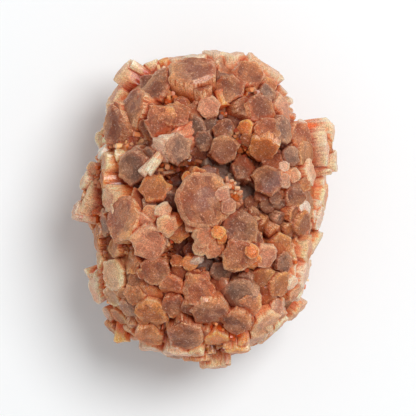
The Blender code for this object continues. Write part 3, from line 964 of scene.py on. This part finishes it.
def grown_point(tree, given, owner):
    """Where a point of a round prism goes in the crystal that owns it."""
    x, y, z = split(read(tree, "unit", "FLOAT_VECTOR"))
    turn = maths("ARCTAN2", y, x) / math.tau
    share_out = maths("SQRT", x * x + y * y)
    radius = 1.0 - maths("MAXIMUM", 1.0 - share_out, 0.0) ** RINGS_CROWD
    down = maths("MAXIMUM", 0.5 - z, 0.0) ** STEPS_CROWD
    length = read(tree, "length")
    depth = down * length
    taper = 1.0 - (1.0 - ROOT_SHARE) * ((depth + END_SPARE * MM) / (length + END_SPARE * MM))

    rib_at = joined(maths("ROUND", turn * float(POINTS_ROUND)), owner)
    settings = {"output": "Value", "noise_dimensions": "3D"}
    rib = result(tree, "ShaderNodeTexWhiteNoise", {"Vector": rib_at}, **settings)
    angle = turn * math.tau
    circle_at = joined(maths("COSINE", angle), maths("SINE", angle), owner * WANDER_APART)
    wander = (noise(circle_at, WANDER_SCALE, 1.0) - 0.5) * given["Outline Wander"]
    size = radius * taper * (1.0 - rib * given["Rib Depth"] + wander)
    u, v, _ = split(outline_point(tree, turn).scaled(size))

    slope_u, slope_v, _ = split(read(tree, "slope", "FLOAT_VECTOR"))
    chip_u, chip_v, chip_out = split(read(tree, "chip", "FLOAT_VECTOR"))
    outermost = maths("GREATER_THAN", share_out, OUTERMOST_RING)
    wear = outermost * read(tree, "across") * (given["Rim Wear"] * (LEAST_RIM_WEAR + rib))
    dome = read(tree, "dome") * (radius * radius)
    beyond = maths("MAXIMUM", u * chip_u + v * chip_v - chip_out, 0.0)
    lowered = wear + dome + beyond * read(tree, "chip_slope")
    height = (1.0 - down) * (u * slope_u + v * slope_v - lowered) - depth

    point = read(tree, "end", "FLOAT_VECTOR")
    for name, amount in (("axis_u", u), ("axis_v", v), ("axis_w", height)):
        point = point + read(tree, name, "FLOAT_VECTOR").scaled(amount)
    ripple = noise(point, UNEVENNESS_SCALE, output=1) - (0.5, 0.5, 0.5)
    return point + ripple.scaled(given["Unevenness"])


def crystal_tree():
    """The tree that grows a prism from each seed point, joins all with the mass and cuts it flat."""
    tree, given, end = new_tree(
        "grow crystals",
        "GeometryNodeTree",
        {
            "Seeds": "Geometry",
            "Material": "Material",
            "Rib Depth": "Float",
            "Rim Wear": "Float",
            "Outline Wander": "Float",
            "Unevenness": "Float",
            "Mass": "Object",
            "Mass Roughness": "Float",
        },
        {"Cluster": "Geometry"},
    )
    owner = read(tree, "owner", "INT")
    prisms = prisms_on_seeds(tree, given["Seeds"])
    inputs = {"Geometry": prisms, "Position": grown_point(tree, given, owner)}
    crystals = result(tree, "GeometryNodeSetPosition", inputs)
    owned = stored(crystals, "grower", owner, "INT", "FACE")
    inputs = {"Geometry": owned, "Group ID": owner}
    single = result(tree, "GeometryNodeSplitToInstances", inputs)
    settings = {"solver": "MANIFOLD", "operation": "UNION"}
    cluster = node(tree, "GeometryNodeMeshBoolean", {"Mesh 2": single}, **settings)
    feed(cluster, {"Mesh 2": roughened(tree, given["Mass"], given["Mass Roughness"])})
    inputs = {"Mesh 1": Term(cluster.outputs["Mesh"]), "Mesh 2": air_below(tree)}
    settings["operation"] = "DIFFERENCE"
    cut = result(tree, "GeometryNodeMeshBoolean", inputs, "Mesh", **settings)
    feed(end, {"Cluster": with_material(outer_skin(cut), given["Material"])})
    return tree


def roughened(tree, mass, roughness):
    """The mass between the crystals with small crystal-like lumps, marked as no crystal's."""
    shape = result(tree, "GeometryNodeObjectInfo", {"Object": mass}, "Geometry")
    place = result(tree, "GeometryNodeInputPosition")
    inputs = {"Vector": place, "Scale": MASS_CELLS}
    cells = result(tree, "ShaderNodeTexVoronoi", inputs, "Distance")
    height = noise(place, MASS_LUMPS, 3.0) - cells * MASS_CELL_SHARE
    outward = result(tree, "GeometryNodeInputNormal")
    inputs = {"Geometry": shape, "Offset": outward.scaled(height * roughness)}
    rough = result(tree, "GeometryNodeSetPosition", inputs)
    return stored(rough, "grower", -1, "INT", "FACE")


def air_below(tree):
    """The block of air under the flat spot."""
    size = {"Size": [GROUND_SIDE * MM, GROUND_SIDE * MM, GROUND_DEPTH * MM]}
    block = result(tree, "GeometryNodeMeshCube", size, "Mesh")
    return shifted(block, (0.0, 0.0, -0.5 * GROUND_DEPTH * MM))


def outer_skin(mesh):
    """The mesh without the skins of the small hollows that the crystals have closed off."""
    tree = mesh.tree
    island = result(tree, "GeometryNodeInputMeshIsland", output="Island Index")
    settings = {"output": "Total", "data_type": "INT", "domain": "POINT"}
    inputs = {"Value": 1, "Group ID": island}
    points = result(tree, "GeometryNodeAccumulateField", inputs, **settings)
    settings = {"output": "Max", "data_type": "FLOAT", "domain": "POINT"}
    inputs = {"Geometry": mesh, "Attribute": points}
    most = result(tree, "GeometryNodeAttributeStatistic", inputs, **settings)
    inputs = {"Geometry": mesh, "Selection": maths("LESS_THAN", points, most - 0.5)}
    return result(tree, "GeometryNodeDeleteGeometry", inputs, domain="POINT")


def druse_tree():
    """The tree that sows tiny six-sided crystals on the mass, densest in the hollows."""
    tree, given, end = new_tree(
        "grow druse",
        "GeometryNodeTree",
        {
            "Ground": "Geometry",
            "Material": "Material",
            "Per Square Metre": "Float",
            "Thinnest": "Float",
            "Thickest": "Float",
            "Shortest": "Float",
            "Longest": "Float",
            "Seed": "Int",
        },
        {"Druse": "Geometry"},
    )
    on_mass = maths("LESS_THAN", read(tree, "grower", "INT"), -0.5)
    hollow = maths("GREATER_THAN", read(tree, "hollow"), DRUSE_FROM_HOLLOW)
    height = split(result(tree, "GeometryNodeInputPosition"))[2]
    lifted = maths("GREATER_THAN", height, DRUSE_LOWEST * MM)
    share = on_mass * (hollow + DRUSE_ELSEWHERE) * lifted
    inputs = {
        "Mesh": given["Ground"],
        "Density": share * given["Per Square Metre"],
        "Seed": given["Seed"],
    }
    sown = node(tree, "GeometryNodeDistributePointsOnFaces", inputs).outputs
    radius = random_number(tree, given["Thinnest"], given["Thickest"], 1)
    length = random_number(tree, given["Shortest"], given["Longest"], 2)
    inputs = {
        "Points": Term(sown["Points"]),
        "Instance": tiny_crystal(tree),
        "Rotation": leaning(tree, Term(sown["Normal"]), given["Seed"]),
        "Scale": joined(radius, radius, length),
    }
    placed = result(tree, "GeometryNodeInstanceOnPoints", inputs)
    marked = stored(placed, "mark", random_number(tree, 0.0, 1.0, 3), "FLOAT", "INSTANCE")
    feed(end, {"Druse": with_material(marked, given["Material"])})
    return tree


def tiny_crystal(tree):
    """A flat-faced six-sided prism of radius and height 1, sunk a little."""
    shape = {"Vertices": CORNERS, "Radius Top": DRUSE_TOP, "Radius Bottom": 1.0, "Depth": 1.0}
    tiny = result(tree, "GeometryNodeMeshCone", shape, "Mesh", fill_type="NGON")
    inputs = {0: shifted(tiny, (0.0, 0.0, -DRUSE_SUNK)), "Shade Smooth": False}
    return result(tree, "GeometryNodeSetShadeSmooth", inputs)


def leaning(tree, normal, seed):
    """The rotation that stands a tiny crystal on its ground, leaning at random."""
    outward = result(tree, "FunctionNodeAlignRotationToVector", {"Vector": normal}, axis="Z")
    inputs = {
        "Min": (-DRUSE_LEAN, -DRUSE_LEAN, 0.0),
        "Max": (DRUSE_LEAN, DRUSE_LEAN, math.tau),
        "Seed": seed,
    }
    turn = result(tree, "FunctionNodeRandomValue", inputs, data_type="FLOAT_VECTOR")
    turn = result(tree, "FunctionNodeEulerToRotation", {0: turn})
    inputs = {0: outward, 1: turn}
    return result(tree, "FunctionNodeRotateRotation", inputs, rotation_space="LOCAL")


def store(mesh, name, kind, domain, values):
    """Store values on a mesh under a name."""
    field = {"FLOAT_VECTOR": "vector", "FLOAT_COLOR": "color"}.get(kind, "value")
    mesh.attributes.new(name, kind, domain).data.foreach_set(field, np.ravel(values))


def fetch(items, field, kind, parts=1):
    """One field of all items of a mesh."""
    values = np.empty(len(items) * parts, kind)
    items.foreach_get(field, values)
    return values.reshape(-1, parts) if parts > 1 else values


def seed_points(crystals):
    """A mesh of one loose point at each crystal's end, with what its prism needs to know."""
    mesh = bpy.data.meshes.new("crystal seeds")
    mesh.vertices.add(len(crystals))
    ends = [c.end * MM for c in crystals]
    mesh.vertices.foreach_set("co", np.ravel(ends))
    reach = [[CORNER_REACH * c.across * s * MM for s in c.corner_shares] for c in crystals]
    facing = np.array([c.end_facing for c in crystals])
    slope = -facing / facing[:, 2:]
    slope[:, 2] = 0.0
    vectors = {
        "end": ends,
        "axis_u": [c.axes[0] for c in crystals],
        "axis_v": [c.axes[1] for c in crystals],
        "axis_w": [c.axes[2] for c in crystals],
        "reach_a": np.array(reach)[:, :3],
        "reach_b": np.array(reach)[:, 3:],
        "slope": slope,
        "chip": [Vector((c.chip.x, c.chip.y, c.chip.z * MM)) for c in crystals],
    }
    for name, values in vectors.items():
        store(mesh, name, "FLOAT_VECTOR", "POINT", values)
    numbers = {
        "length": [c.length * MM for c in crystals],
        "across": [c.across * MM for c in crystals],
        "dome": [c.dome * c.across * MM for c in crystals],
        "wear": [c.wear for c in crystals],
        "chip_slope": [c.chip_slope for c in crystals],
    }
    for name, values in numbers.items():
        store(mesh, name, "FLOAT", "POINT", values)
    store(mesh, "owner", "INT", "POINT", np.arange(len(crystals)))
    return mesh


def grown(name, source, tree, inputs):
    """The plain mesh object that a tree makes of a source mesh."""
    ob = bpy.data.objects.new(name, source)
    bpy.context.scene.collection.objects.link(ob)
    modifier = ob.modifiers.new(name, "NODES")
    modifier.node_group = tree
    for item in tree.interface.items_tree:
        if item.in_out == "INPUT" and item.name in inputs:
            modifier[item.identifier] = inputs[item.name]
    graph = bpy.context.evaluated_depsgraph_get()
    mesh = bpy.data.meshes.new_from_object(ob.evaluated_get(graph))
    ob.modifiers.clear()
    ob.data = mesh
    mesh.name = name
    return ob


def linear(tint):
    """A tint from 0 to 255 as linear light, with full cover."""
    share = np.array(tint) / 255.0
    low = share / 12.92
    high = ((share + 0.055) / 1.055) ** 2.4
    return np.append(np.where(share <= 0.04045, low, high), 1.0)


def corner_values(mesh):
    """For each corner of the mesh: its point, its face's normal, and the crystal it belongs to."""
    points = fetch(mesh.vertices, "co", np.float32, 3).astype(float) / MM
    at = fetch(mesh.loops, "vertex_index", np.int32)
    sizes = fetch(mesh.polygons, "loop_total", np.int32)
    normals = fetch(mesh.polygons, "normal", np.float32, 3)
    owners = fetch(mesh.attributes["grower"].data, "value", np.int32)
    face = np.repeat(np.arange(len(sizes)), sizes)
    return points, at, normals[face], owners[face]


def outline_reach(crystal, angles):
    """How far the crystal's outline reaches at each angle."""
    side = angles / math.tau * CORNERS - 0.5
    first = np.floor(side).astype(int) % CORNERS
    corners = np.array([crystal.corner(k) for k in range(CORNERS + 1)])
    a, b = corners[first], corners[first + 1]
    way = np.stack((np.cos(angles), np.sin(angles)), axis=1)
    edge = b - a
    across = way[:, 0] * edge[:, 1] - way[:, 1] * edge[:, 0]
    sharp = (a[:, 0] * b[:, 1] - a[:, 1] * b[:, 0]) / across
    round_reach = CORNER_REACH * CORNER_WEAR_REACH * crystal.across
    return sharp * (1 - crystal.wear) + round_reach * crystal.wear


def palettes_of(crystals):
    """The four tints of each crystal, in a tone and warmth of its own, with painted glow on lying
    crystals and painted shade on sunken ones.
    """
    palettes = np.array([[linear(tint) for tint in TINTS[c.tint]] for c in crystals])
    marks = np.array([c.mark for c in crystals])
    tones = 1 + TONE_SPREAD * (2 * marks - 1)
    marks = np.array([dice_mark(c.end + c.axes[2]) for c in crystals])
    warmths = 1 + WARMTH_SPREAD * (2 * marks - 1)
    sunk = -np.array([c.rise() for c in crystals])
    tones *= 1 - SUNK_SHADE * np.clip((sunk - SUNK_FROM) / (SUNK_TO - SUNK_FROM), 0, 1)
    palettes[..., :3] *= tones[:, None, None]
    level = 1 - np.abs([c.axes[2].z for c in crystals])
    palettes[:, 1:, :3] *= 1 + SIDE_GLOW * np.clip(level, 0, 1)[:, None, None] ** 2
    palettes[..., 1] *= warmths[:, None] ** 0.5
    palettes[..., 2] *= warmths[:, None]
    return np.clip(palettes, 0, 1)


def nearest_crystals(crystals, points, wanted):
    """For each wanted point: the number of the crystal whose end is nearest."""
    ends = KDTree(len(crystals))
    for k, crystal in enumerate(crystals):
        ends.insert(crystal.end, k)
    ends.balance()
    nearest = {i: ends.find(points[i])[1] for i in np.unique(wanted)}
    return [nearest[i] for i in wanted]


def seen_from(crystal, points, normals):
    """What points of a crystal know of it: their place in it, and how far out and aside they are."""
    axes = np.array(crystal.axes)
    from_end = (points - np.array(crystal.end)) @ axes.T
    depth = -(from_end @ np.array(crystal.end_facing))
    angles = np.arctan2(from_end[:, 1], from_end[:, 0])
    taper = 1 - (1 - ROOT_SHARE) * (depth + END_SPARE) / (crystal.length + END_SPARE)
    out = np.hypot(from_end[:, 0], from_end[:, 1])
    facing = normals @ axes[2]
    turn = math.tau * GLOW_TURNS * crystal.mark
    glow_side = from_end[:, :2] @ (math.cos(turn), math.sin(turn))
    return {
        "local": np.stack((from_end[:, 0], from_end[:, 1], depth), axis=1),
        "rim": out / (outline_reach(crystal, angles) * taper),
        "end_face": np.clip((facing - END_FACE_FROM) / END_FACE_SOFTNESS, 0, 1),
        "aside": glow_side / (CORNER_REACH * crystal.across),
        "mark": crystal.mark,
    }


def mark_crystals(mesh, crystals):
    """Give each corner its place in its own crystal, and its crystal's tints."""
    points, at, normals, owners = corner_values(mesh)
    palettes = palettes_of(crystals)
    count = len(at)
    values = {
        "local": points[at].copy(),
        "rim": np.ones(count),
        "end_face": np.zeros(count),
        "aside": np.zeros(count),
        "mark": np.full(count, 0.5),
    }
    tints = np.zeros((4, count, 4))
    between = np.flatnonzero(owners < 0)
    nearest = nearest_crystals(crystals, points, at[between])
    tints[:, between] = palettes[nearest].transpose(1, 0, 2)
    order = np.argsort(owners, kind="stable")
    bounds = np.searchsorted(owners[order], np.arange(len(crystals) + 1))
    for k, crystal in enumerate(crystals):
        mine = order[bounds[k] : bounds[k + 1]]
        if len(mine):
            for name, own in seen_from(crystal, points[at[mine]], normals[mine]).items():
                values[name][mine] = own
            tints[:, mine] = palettes[k][:, None]
    for name, own in values.items():
        store(mesh, name, "FLOAT_VECTOR" if name == "local" else "FLOAT", "CORNER", own)
    for name, own in zip(("end_tint", "rim_tint", "flank_tint", "root_tint"), tints):
        store(mesh, name, "FLOAT_COLOR", "CORNER", own)


def hemisphere_ways(count):
    """Directions spread over the half above, closer together near straight up."""
    ways = []
    for i in range(count):
        out = math.sqrt((i + 0.5) / count)
        turn = i * GOLDEN_ANGLE
        up = math.sqrt(1 - out * out)
        ways.append(Vector((out * math.cos(turn), out * math.sin(turn), up)))
    return ways


def mark_hollows(mesh):
    """Give each point the share of its outlook that is blocked nearby."""
    mesh.calc_loop_triangles()
    points = [v.co.copy() for v in mesh.vertices]
    normals = [v.vector.copy() for v in mesh.vertex_normals]
    tree = BVHTree.FromPolygons(points, [tuple(t.vertices) for t in mesh.loop_triangles])
    ways = hemisphere_ways(HOLLOW_WAYS)
    reach = HOLLOW_REACH * MM
    blocked = []
    for point, normal in zip(points, normals):
        turned = normal.to_track_quat("Z", "Y")
        start = point + normal * HOLLOW_LIFT * MM
        share = 0.0
        for way in ways:
            hit = tree.ray_cast(start, turned @ way, reach)
            if hit[0] is not None:
                share += 1.0 - HOLLOW_FADE * hit[3] / reach
        blocked.append(share / len(ways))
    # The share sets where the druse grows, and how much painted shade the hollows get
    store(mesh, "hollow", "FLOAT", "POINT", blocked)


def attribute(tree, name, output="Fac"):
    """A named attribute in a material."""
    return result(tree, "ShaderNodeAttribute", output=output, attribute_name=name)


def mixed(share, a, b, blend="MIX"):
    """Two colours mixed by a share."""
    settings = {"data_type": "RGBA", "blend_type": blend}
    return result(a.tree, "ShaderNodeMix", {0: share, 6: a, 7: b}, 2, **settings)


def turning(color, other, value, low, high, most=1.0):
    """A colour that turns to another while a value goes from low to high, at most by a share."""
    return mixed(spread(value, low, high, 0.0, most), color, other)


def paint(tint):
    """A tint as the colour of a node."""
    return tuple(linear(tint))


def new_material(name):
    """A new material, and its shader."""
    mat = bpy.data.materials.new(name)
    mat.use_nodes = True
    return mat, mat.node_tree.nodes["Principled BSDF"]


def group_results(tree, group, inputs):
    """What a node group puts out, by name."""
    made = node(tree, "ShaderNodeGroup", inputs, node_tree=group)
    return {socket.name: Term(socket) for socket in made.outputs}


def growth_marks():
    """The group that draws the marks of every crystal: streaks, bands, clouds, grain, and painted
    glints.
    """
    drawn = ("Streaks", "Bands", "Clouds", "Grain", "Specks", "Frost", "Veils")
    reckoned = ("Facets", "Planes", "Painted Glints")
    tree, given, end = new_tree(
        "growth marks",
        "ShaderNodeTree",
        {"Local": "Vector", "Mark": "Float"},
        {name: "Float" for name in drawn + reckoned},
    )
    at = given["Local"] + joined(given["Mark"], given["Mark"]).scaled(MARKS_APART)
    # Where each noise is drawn, its scale, its detail and its roughness
    noises = (
        (at * STREAK_SQUEEZE, 1.9, 3.0, 0.65),
        (at * BAND_SQUEEZE, 1.3, 2.0, 0.6),
        (at, 0.55, 3.0, 0.55),
        (at, 4.0, 3.0, 0.75),
        (at, 1.7, 4.0, 0.8),
        (at, 0.3, 4.0, 0.6),
        (at + VEILS_APART, 0.38, 3.0, 0.6),
    )
    for name, settings in zip(drawn, noises):
        feed(end, {name: noise(*settings)})

    cells = node(tree, "ShaderNodeTexVoronoi", {"Vector": at, "Scale": 0.42}).outputs
    lean = Term(cells["Color"]) - (0.5, 0.5, 0.5)
    inputs = {0: lean, 1: at - Term(cells["Position"])}
    planes = result(tree, "ShaderNodeVectorMath", inputs, "Value", operation="DOT_PRODUCT")
    # Spots for painted glints: tiny white highlights put into the colour
    painted_spark_cells = result(tree, "ShaderNodeTexVoronoi", {"Vector": at, "Scale": 1.3}, "Distance")
    facets = split(Term(cells["Color"]))[1]
    feed(end, {"Facets": facets, "Planes": planes, "Painted Glints": spread(painted_spark_cells, 0.16, 0.05)})
    return tree


def painted_hollow_shade():
    """The group that paints shade into hollows: a colour darkened by a share to a deep tone of its
    root tint.
    """
    tree, given, end = new_tree(
        "painted hollow shade",
        "ShaderNodeTree",
        {"Color": "Color", "Root Tint": "Color", "Share": "Float"},
        {"Color": "Color"},
    )
    deep = mixed(1.0, given["Root Tint"], paint(PAINTED_HOLLOW_SHADE), "MULTIPLY")
    feed(end, {"Color": mixed(given["Share"], given["Color"], deep)})
    return tree


def end_color(tints, marks, rim, aside):
    """The colour of an end: clouded, with painted glow towards its rim and to one side, painted
    shade to the other side, and a painted highlight along its edge.
    """
    cloudy = (marks["Clouds"] - 0.5) * 1.3
    color = tints["end"]
    # Which tint comes, by what value, from where to where, and at most how much of it
    for name, value, low, high, most in (
        # The first three rows paint glow towards the rim and on one side, and shade on the other
        ("rim", rim + cloudy * 1.4, 0.3, 1.25, 0.5),
        ("flank", aside + cloudy, 0.0, 1.1, 0.62),
        ("root", cloudy - aside, 0.15, 1.2, 0.4),
        ("flank", marks["Veils"], 0.5, 0.75, 0.28),
        ("flank", marks["Facets"], 0.55, 0.8, 0.16),
        # A painted highlight along the very edge of the end
        ("rim", rim, 0.93, 1.0, 0.6),
    ):
        color = turning(color, tints[name], value, low, high, most)
    return color


def flank_color(tints, marks, depth):
    """The colour of a flank: pale at the end, darker and redder towards the root, streaked, and
    frosted in spots that are partly painted highlights.
    """
    streaky = (marks["Streaks"] - 0.5) * 12.0
    banded = (marks["Bands"] - 0.5) * 4.0
    uneven_depth = depth + (streaky + banded)
    color = turning(tints["rim"], tints["flank"], uneven_depth, -0.4, 1.6)
    color = turning(color, tints["root"], uneven_depth, 1.0, 5.4)
    color = turning(color, tints["root"], marks["Streaks"], 0.48, 0.36, 0.5)
    spots = marks["Streaks"] * 0.55 + marks["Specks"] * 0.45
    # Pale spots near the end: partly frost, partly painted highlights along the flank
    frost_and_highlight = spread(depth, 4.5, 0.2) * spread(spots, 0.44, 0.57)
    return mixed(frost_and_highlight * 0.7, color, paint(FLANK_FROST_AND_HIGHLIGHT_TINT))


def weathered(color, marks, rim, end_face):
    """A colour with frost and specks on it, in tones that follow the grain, facets and rings."""
    for tint, mark, low, high, most in (
        (FROST_TINT, "Frost", 0.5, 0.72, 0.42),
        (WARM_SPECK_TINT, "Specks", 0.46, 0.3, 0.16),
        (PALE_SPECK_TINT, "Specks", 0.54, 0.68, 0.58),
    ):
        color = turning(color, paint(tint), marks[mark], low, high, most)
    rings = maths("SINE", rim * 16.0 + marks["Clouds"] * 14.0) * 0.07 * end_face
    tone = spread(marks["Grain"], 0.3, 0.7, 0.56, 1.22) * (rings + 1.0)
    tone = tone * spread(marks["Facets"], 0.2, 0.8, 0.93, 1.07)
    return mixed(1.0, color, joined(tone, tone, tone), "MULTIPLY")


def crystal_material(shade):
    """Frosted translucent ends, and streaked flanks that go from cream to a darker red at the root,
    with painted shade in the hollows and painted glints.
    """
    mat, shader = new_material("aragonite crystals")
    tree = mat.node_tree
    local = attribute(tree, "local", "Vector")
    rim = attribute(tree, "rim")
    end_face = attribute(tree, "end_face")
    hollow = attribute(tree, "hollow")
    names = ("end", "rim", "flank", "root")
    tints = {name: attribute(tree, name + "_tint", "Color") for name in names}
    inputs = {"Local": local, "Mark": attribute(tree, "mark")}
    marks = group_results(tree, growth_marks(), inputs)

    flank = flank_color(tints, marks, split(local)[2])
    end = end_color(tints, marks, rim, attribute(tree, "aside"))
    color = weathered(mixed(end_face, flank, end), marks, rim, end_face)
    # Painted glow and shade in the hollows: the colour turns to the warm root tint, then darkens to
    # a deep tone of it
    color = turning(color, tints["root"], hollow, 0.14, 0.4, 0.5)
    share = spread(hollow, 0.42, 0.85) * 0.85
    inputs = {"Color": color, "Root Tint": tints["root"], "Share": share}
    color = group_results(tree, shade, inputs)["Color"]
    # Painted glints: tiny white highlights mixed into the base colour
    painted_glint = marks["Painted Glints"] * spread(marks["Clouds"], 0.46, 0.58) * 0.6
    relief = marks["Grain"] + marks["Streaks"] * 1.4
    relief = relief + marks["Specks"] * 2.0 + marks["Planes"] * 1.3
    inputs = {"Strength": 0.7, "Distance": 0.22 * MM, "Height": relief}
    feed(
        shader,
        {
            "Base Color": mixed(painted_glint, color, PAINTED_GLINT_COLOR),
            "Roughness": spread(marks["Grain"], 0.25, 0.75, 0.2, 0.45) + end_face * 0.18,
            "Normal": result(tree, "ShaderNodeBump", inputs),
            "IOR": 1.6,
            "Specular IOR Level": 0.25,
            "Coat Weight": spread(end_face, 0.0, 1.0, 0.5, 0.12),
            "Coat Roughness": 0.16,
            "Subsurface Weight": 0.9,
            "Subsurface Radius": (1.0, 0.74, 0.62),
            "Subsurface Scale": 3.5 * MM,
            "Subsurface Anisotropy": 0.5,
        },
    )
    return mat


def druse_material(shade):
    """Tiny glossy crystals in the amber and rust of the flanks around them, with painted shade in
    the hollows.
    """
    mat, shader = new_material("aragonite druse")
    tree = mat.node_tree
    root = attribute(tree, "root_tint", "Color")
    flank = attribute(tree, "flank_tint", "Color")
    inputs = {
        "Color": turning(root, flank, attribute(tree, "mark"), 0.1, 0.9, 0.85),
        "Root Tint": root,
        # Painted shade in the hollows
        "Share": spread(attribute(tree, "hollow"), 0.35, 0.85, 0.0, 0.8),
    }
    feed(
        shader,
        {
            "Base Color": group_results(tree, shade, inputs)["Color"],
            "Roughness": 0.35,
            "Specular IOR Level": 0.3,
            "Coat Weight": 0.5,
            "Coat Roughness": 0.15,
            "Subsurface Weight": 0.5,
            "Subsurface Radius": (1.0, 0.4, 0.2),
            "Subsurface Scale": 0.8 * MM,
        },
    )
    return mat


def make_crystals(shade):
    """The grown-together crystals as one piece."""
    crystals = all_crystals()
    mass = mass_between([c for c in crystals if c.across > MASS_SHAPED_BY])
    piece = grown(
        "crystals",
        seed_points(crystals),
        crystal_tree(),
        {
            "Material": crystal_material(shade),
            "Rib Depth": RIB_DEPTH,
            "Rim Wear": RIM_WEAR,
            "Outline Wander": OUTLINE_WANDER,
            "Unevenness": UNEVENNESS * MM,
            "Mass": mass,
            "Mass Roughness": MASS_ROUGHNESS * MM,
        },
    )
    bpy.data.objects.remove(mass)
    mark_crystals(piece.data, crystals)
    mark_hollows(piece.data)
    piece.data.polygons.foreach_set("use_smooth", np.ones(len(piece.data.polygons), bool))
    piece.data.set_sharp_from_angle(angle=math.radians(SHARP_FROM_DEG))
    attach(piece, "root")
    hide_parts("aragonite_cluster")
    return piece


def make_druse(crystals, shade):
    """Tiny crystals on the mass between the crystals, as one piece."""
    source = crystals.data.copy()
    piece = grown(
        "druse",
        source,
        druse_tree(),
        {
            "Material": druse_material(shade),
            "Per Square Metre": DRUSE_PER_SQUARE_MM / MM**2,
            "Thinnest": DRUSE_RADIUS[0] * MM,
            "Thickest": DRUSE_RADIUS[1] * MM,
            "Shortest": DRUSE_HEIGHT[0] * MM,
            "Longest": DRUSE_HEIGHT[1] * MM,
            "Seed": SEED,
        },
    )
    bpy.data.meshes.remove(source)
    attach(piece, "root")
    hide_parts("aragonite_cluster")


def make_cluster():
    """Both pieces of the cluster, which share one group of painted shade for their hollows."""
    shade = painted_hollow_shade()
    make_druse(make_crystals(shade), shade)


def floor_material():
    """Plain near-white matt board."""
    mat, shader = new_material("pale board")
    feed(shader, {"Base Color": FLOOR_COLOR, "Roughness": 0.9, "Specular IOR Level": 0.1})
    return mat


def make_floor():
    """A wide pale floor under the cluster."""
    mesh = bpy.data.meshes.new("floor")
    corners = [(x * FLOOR_HALF, y * FLOOR_HALF, 0) for x, y in ((-1, -1), (1, -1), (1, 1), (-1, 1))]
    mesh.from_pydata(corners, [], [(0, 1, 2, 3)])
    mesh.materials.append(floor_material())
    floor = bpy.data.objects.new("floor", mesh)
    bpy.context.scene.collection.objects.link(floor)


def make_light():
    """Even pale light all round, and one large soft lamp from the upper right."""
    world = bpy.data.worlds.new("pale room")
    bpy.context.scene.world = world
    world.use_nodes = True
    back = world.node_tree.nodes["Background"]
    feed(back, {"Color": (1.0, 1.0, 1.0, 1.0), "Strength": ROOM_STRENGTH})
    lamp = bpy.data.lights.new("soft lamp", "AREA")
    lamp.shape = "DISK"
    lamp.size = LAMP_SIZE
    lamp.energy = LAMP_ENERGY
    ob = bpy.data.objects.new("soft lamp", lamp)
    ob.location = LAMP_PLACE
    ob.rotation_euler = LAMP_PLACE.to_track_quat("Z", "Y").to_euler()
    bpy.context.scene.collection.objects.link(ob)


def make_camera():
    """The photo's view: straight down, +Y up in the picture."""
    cam = bpy.data.cameras.new("camera")
    cam.lens = CAMERA_LENS
    cam.sensor_width = CAMERA_SENSOR
    cam.clip_start, cam.clip_end = CAMERA_CLIP_M
    ob = bpy.data.objects.new("camera", cam)
    x, y = CAMERA_MIDDLE
    ob.location = Vector((x, y, CAMERA_AIM_HEIGHT + CAMERA_DISTANCE)) * MM
    bpy.context.scene.collection.objects.link(ob)
    bpy.context.scene.camera = ob


make_cluster()
make_floor()
make_light()
make_camera()
bpy.context.scene.view_settings.view_transform = "Standard"
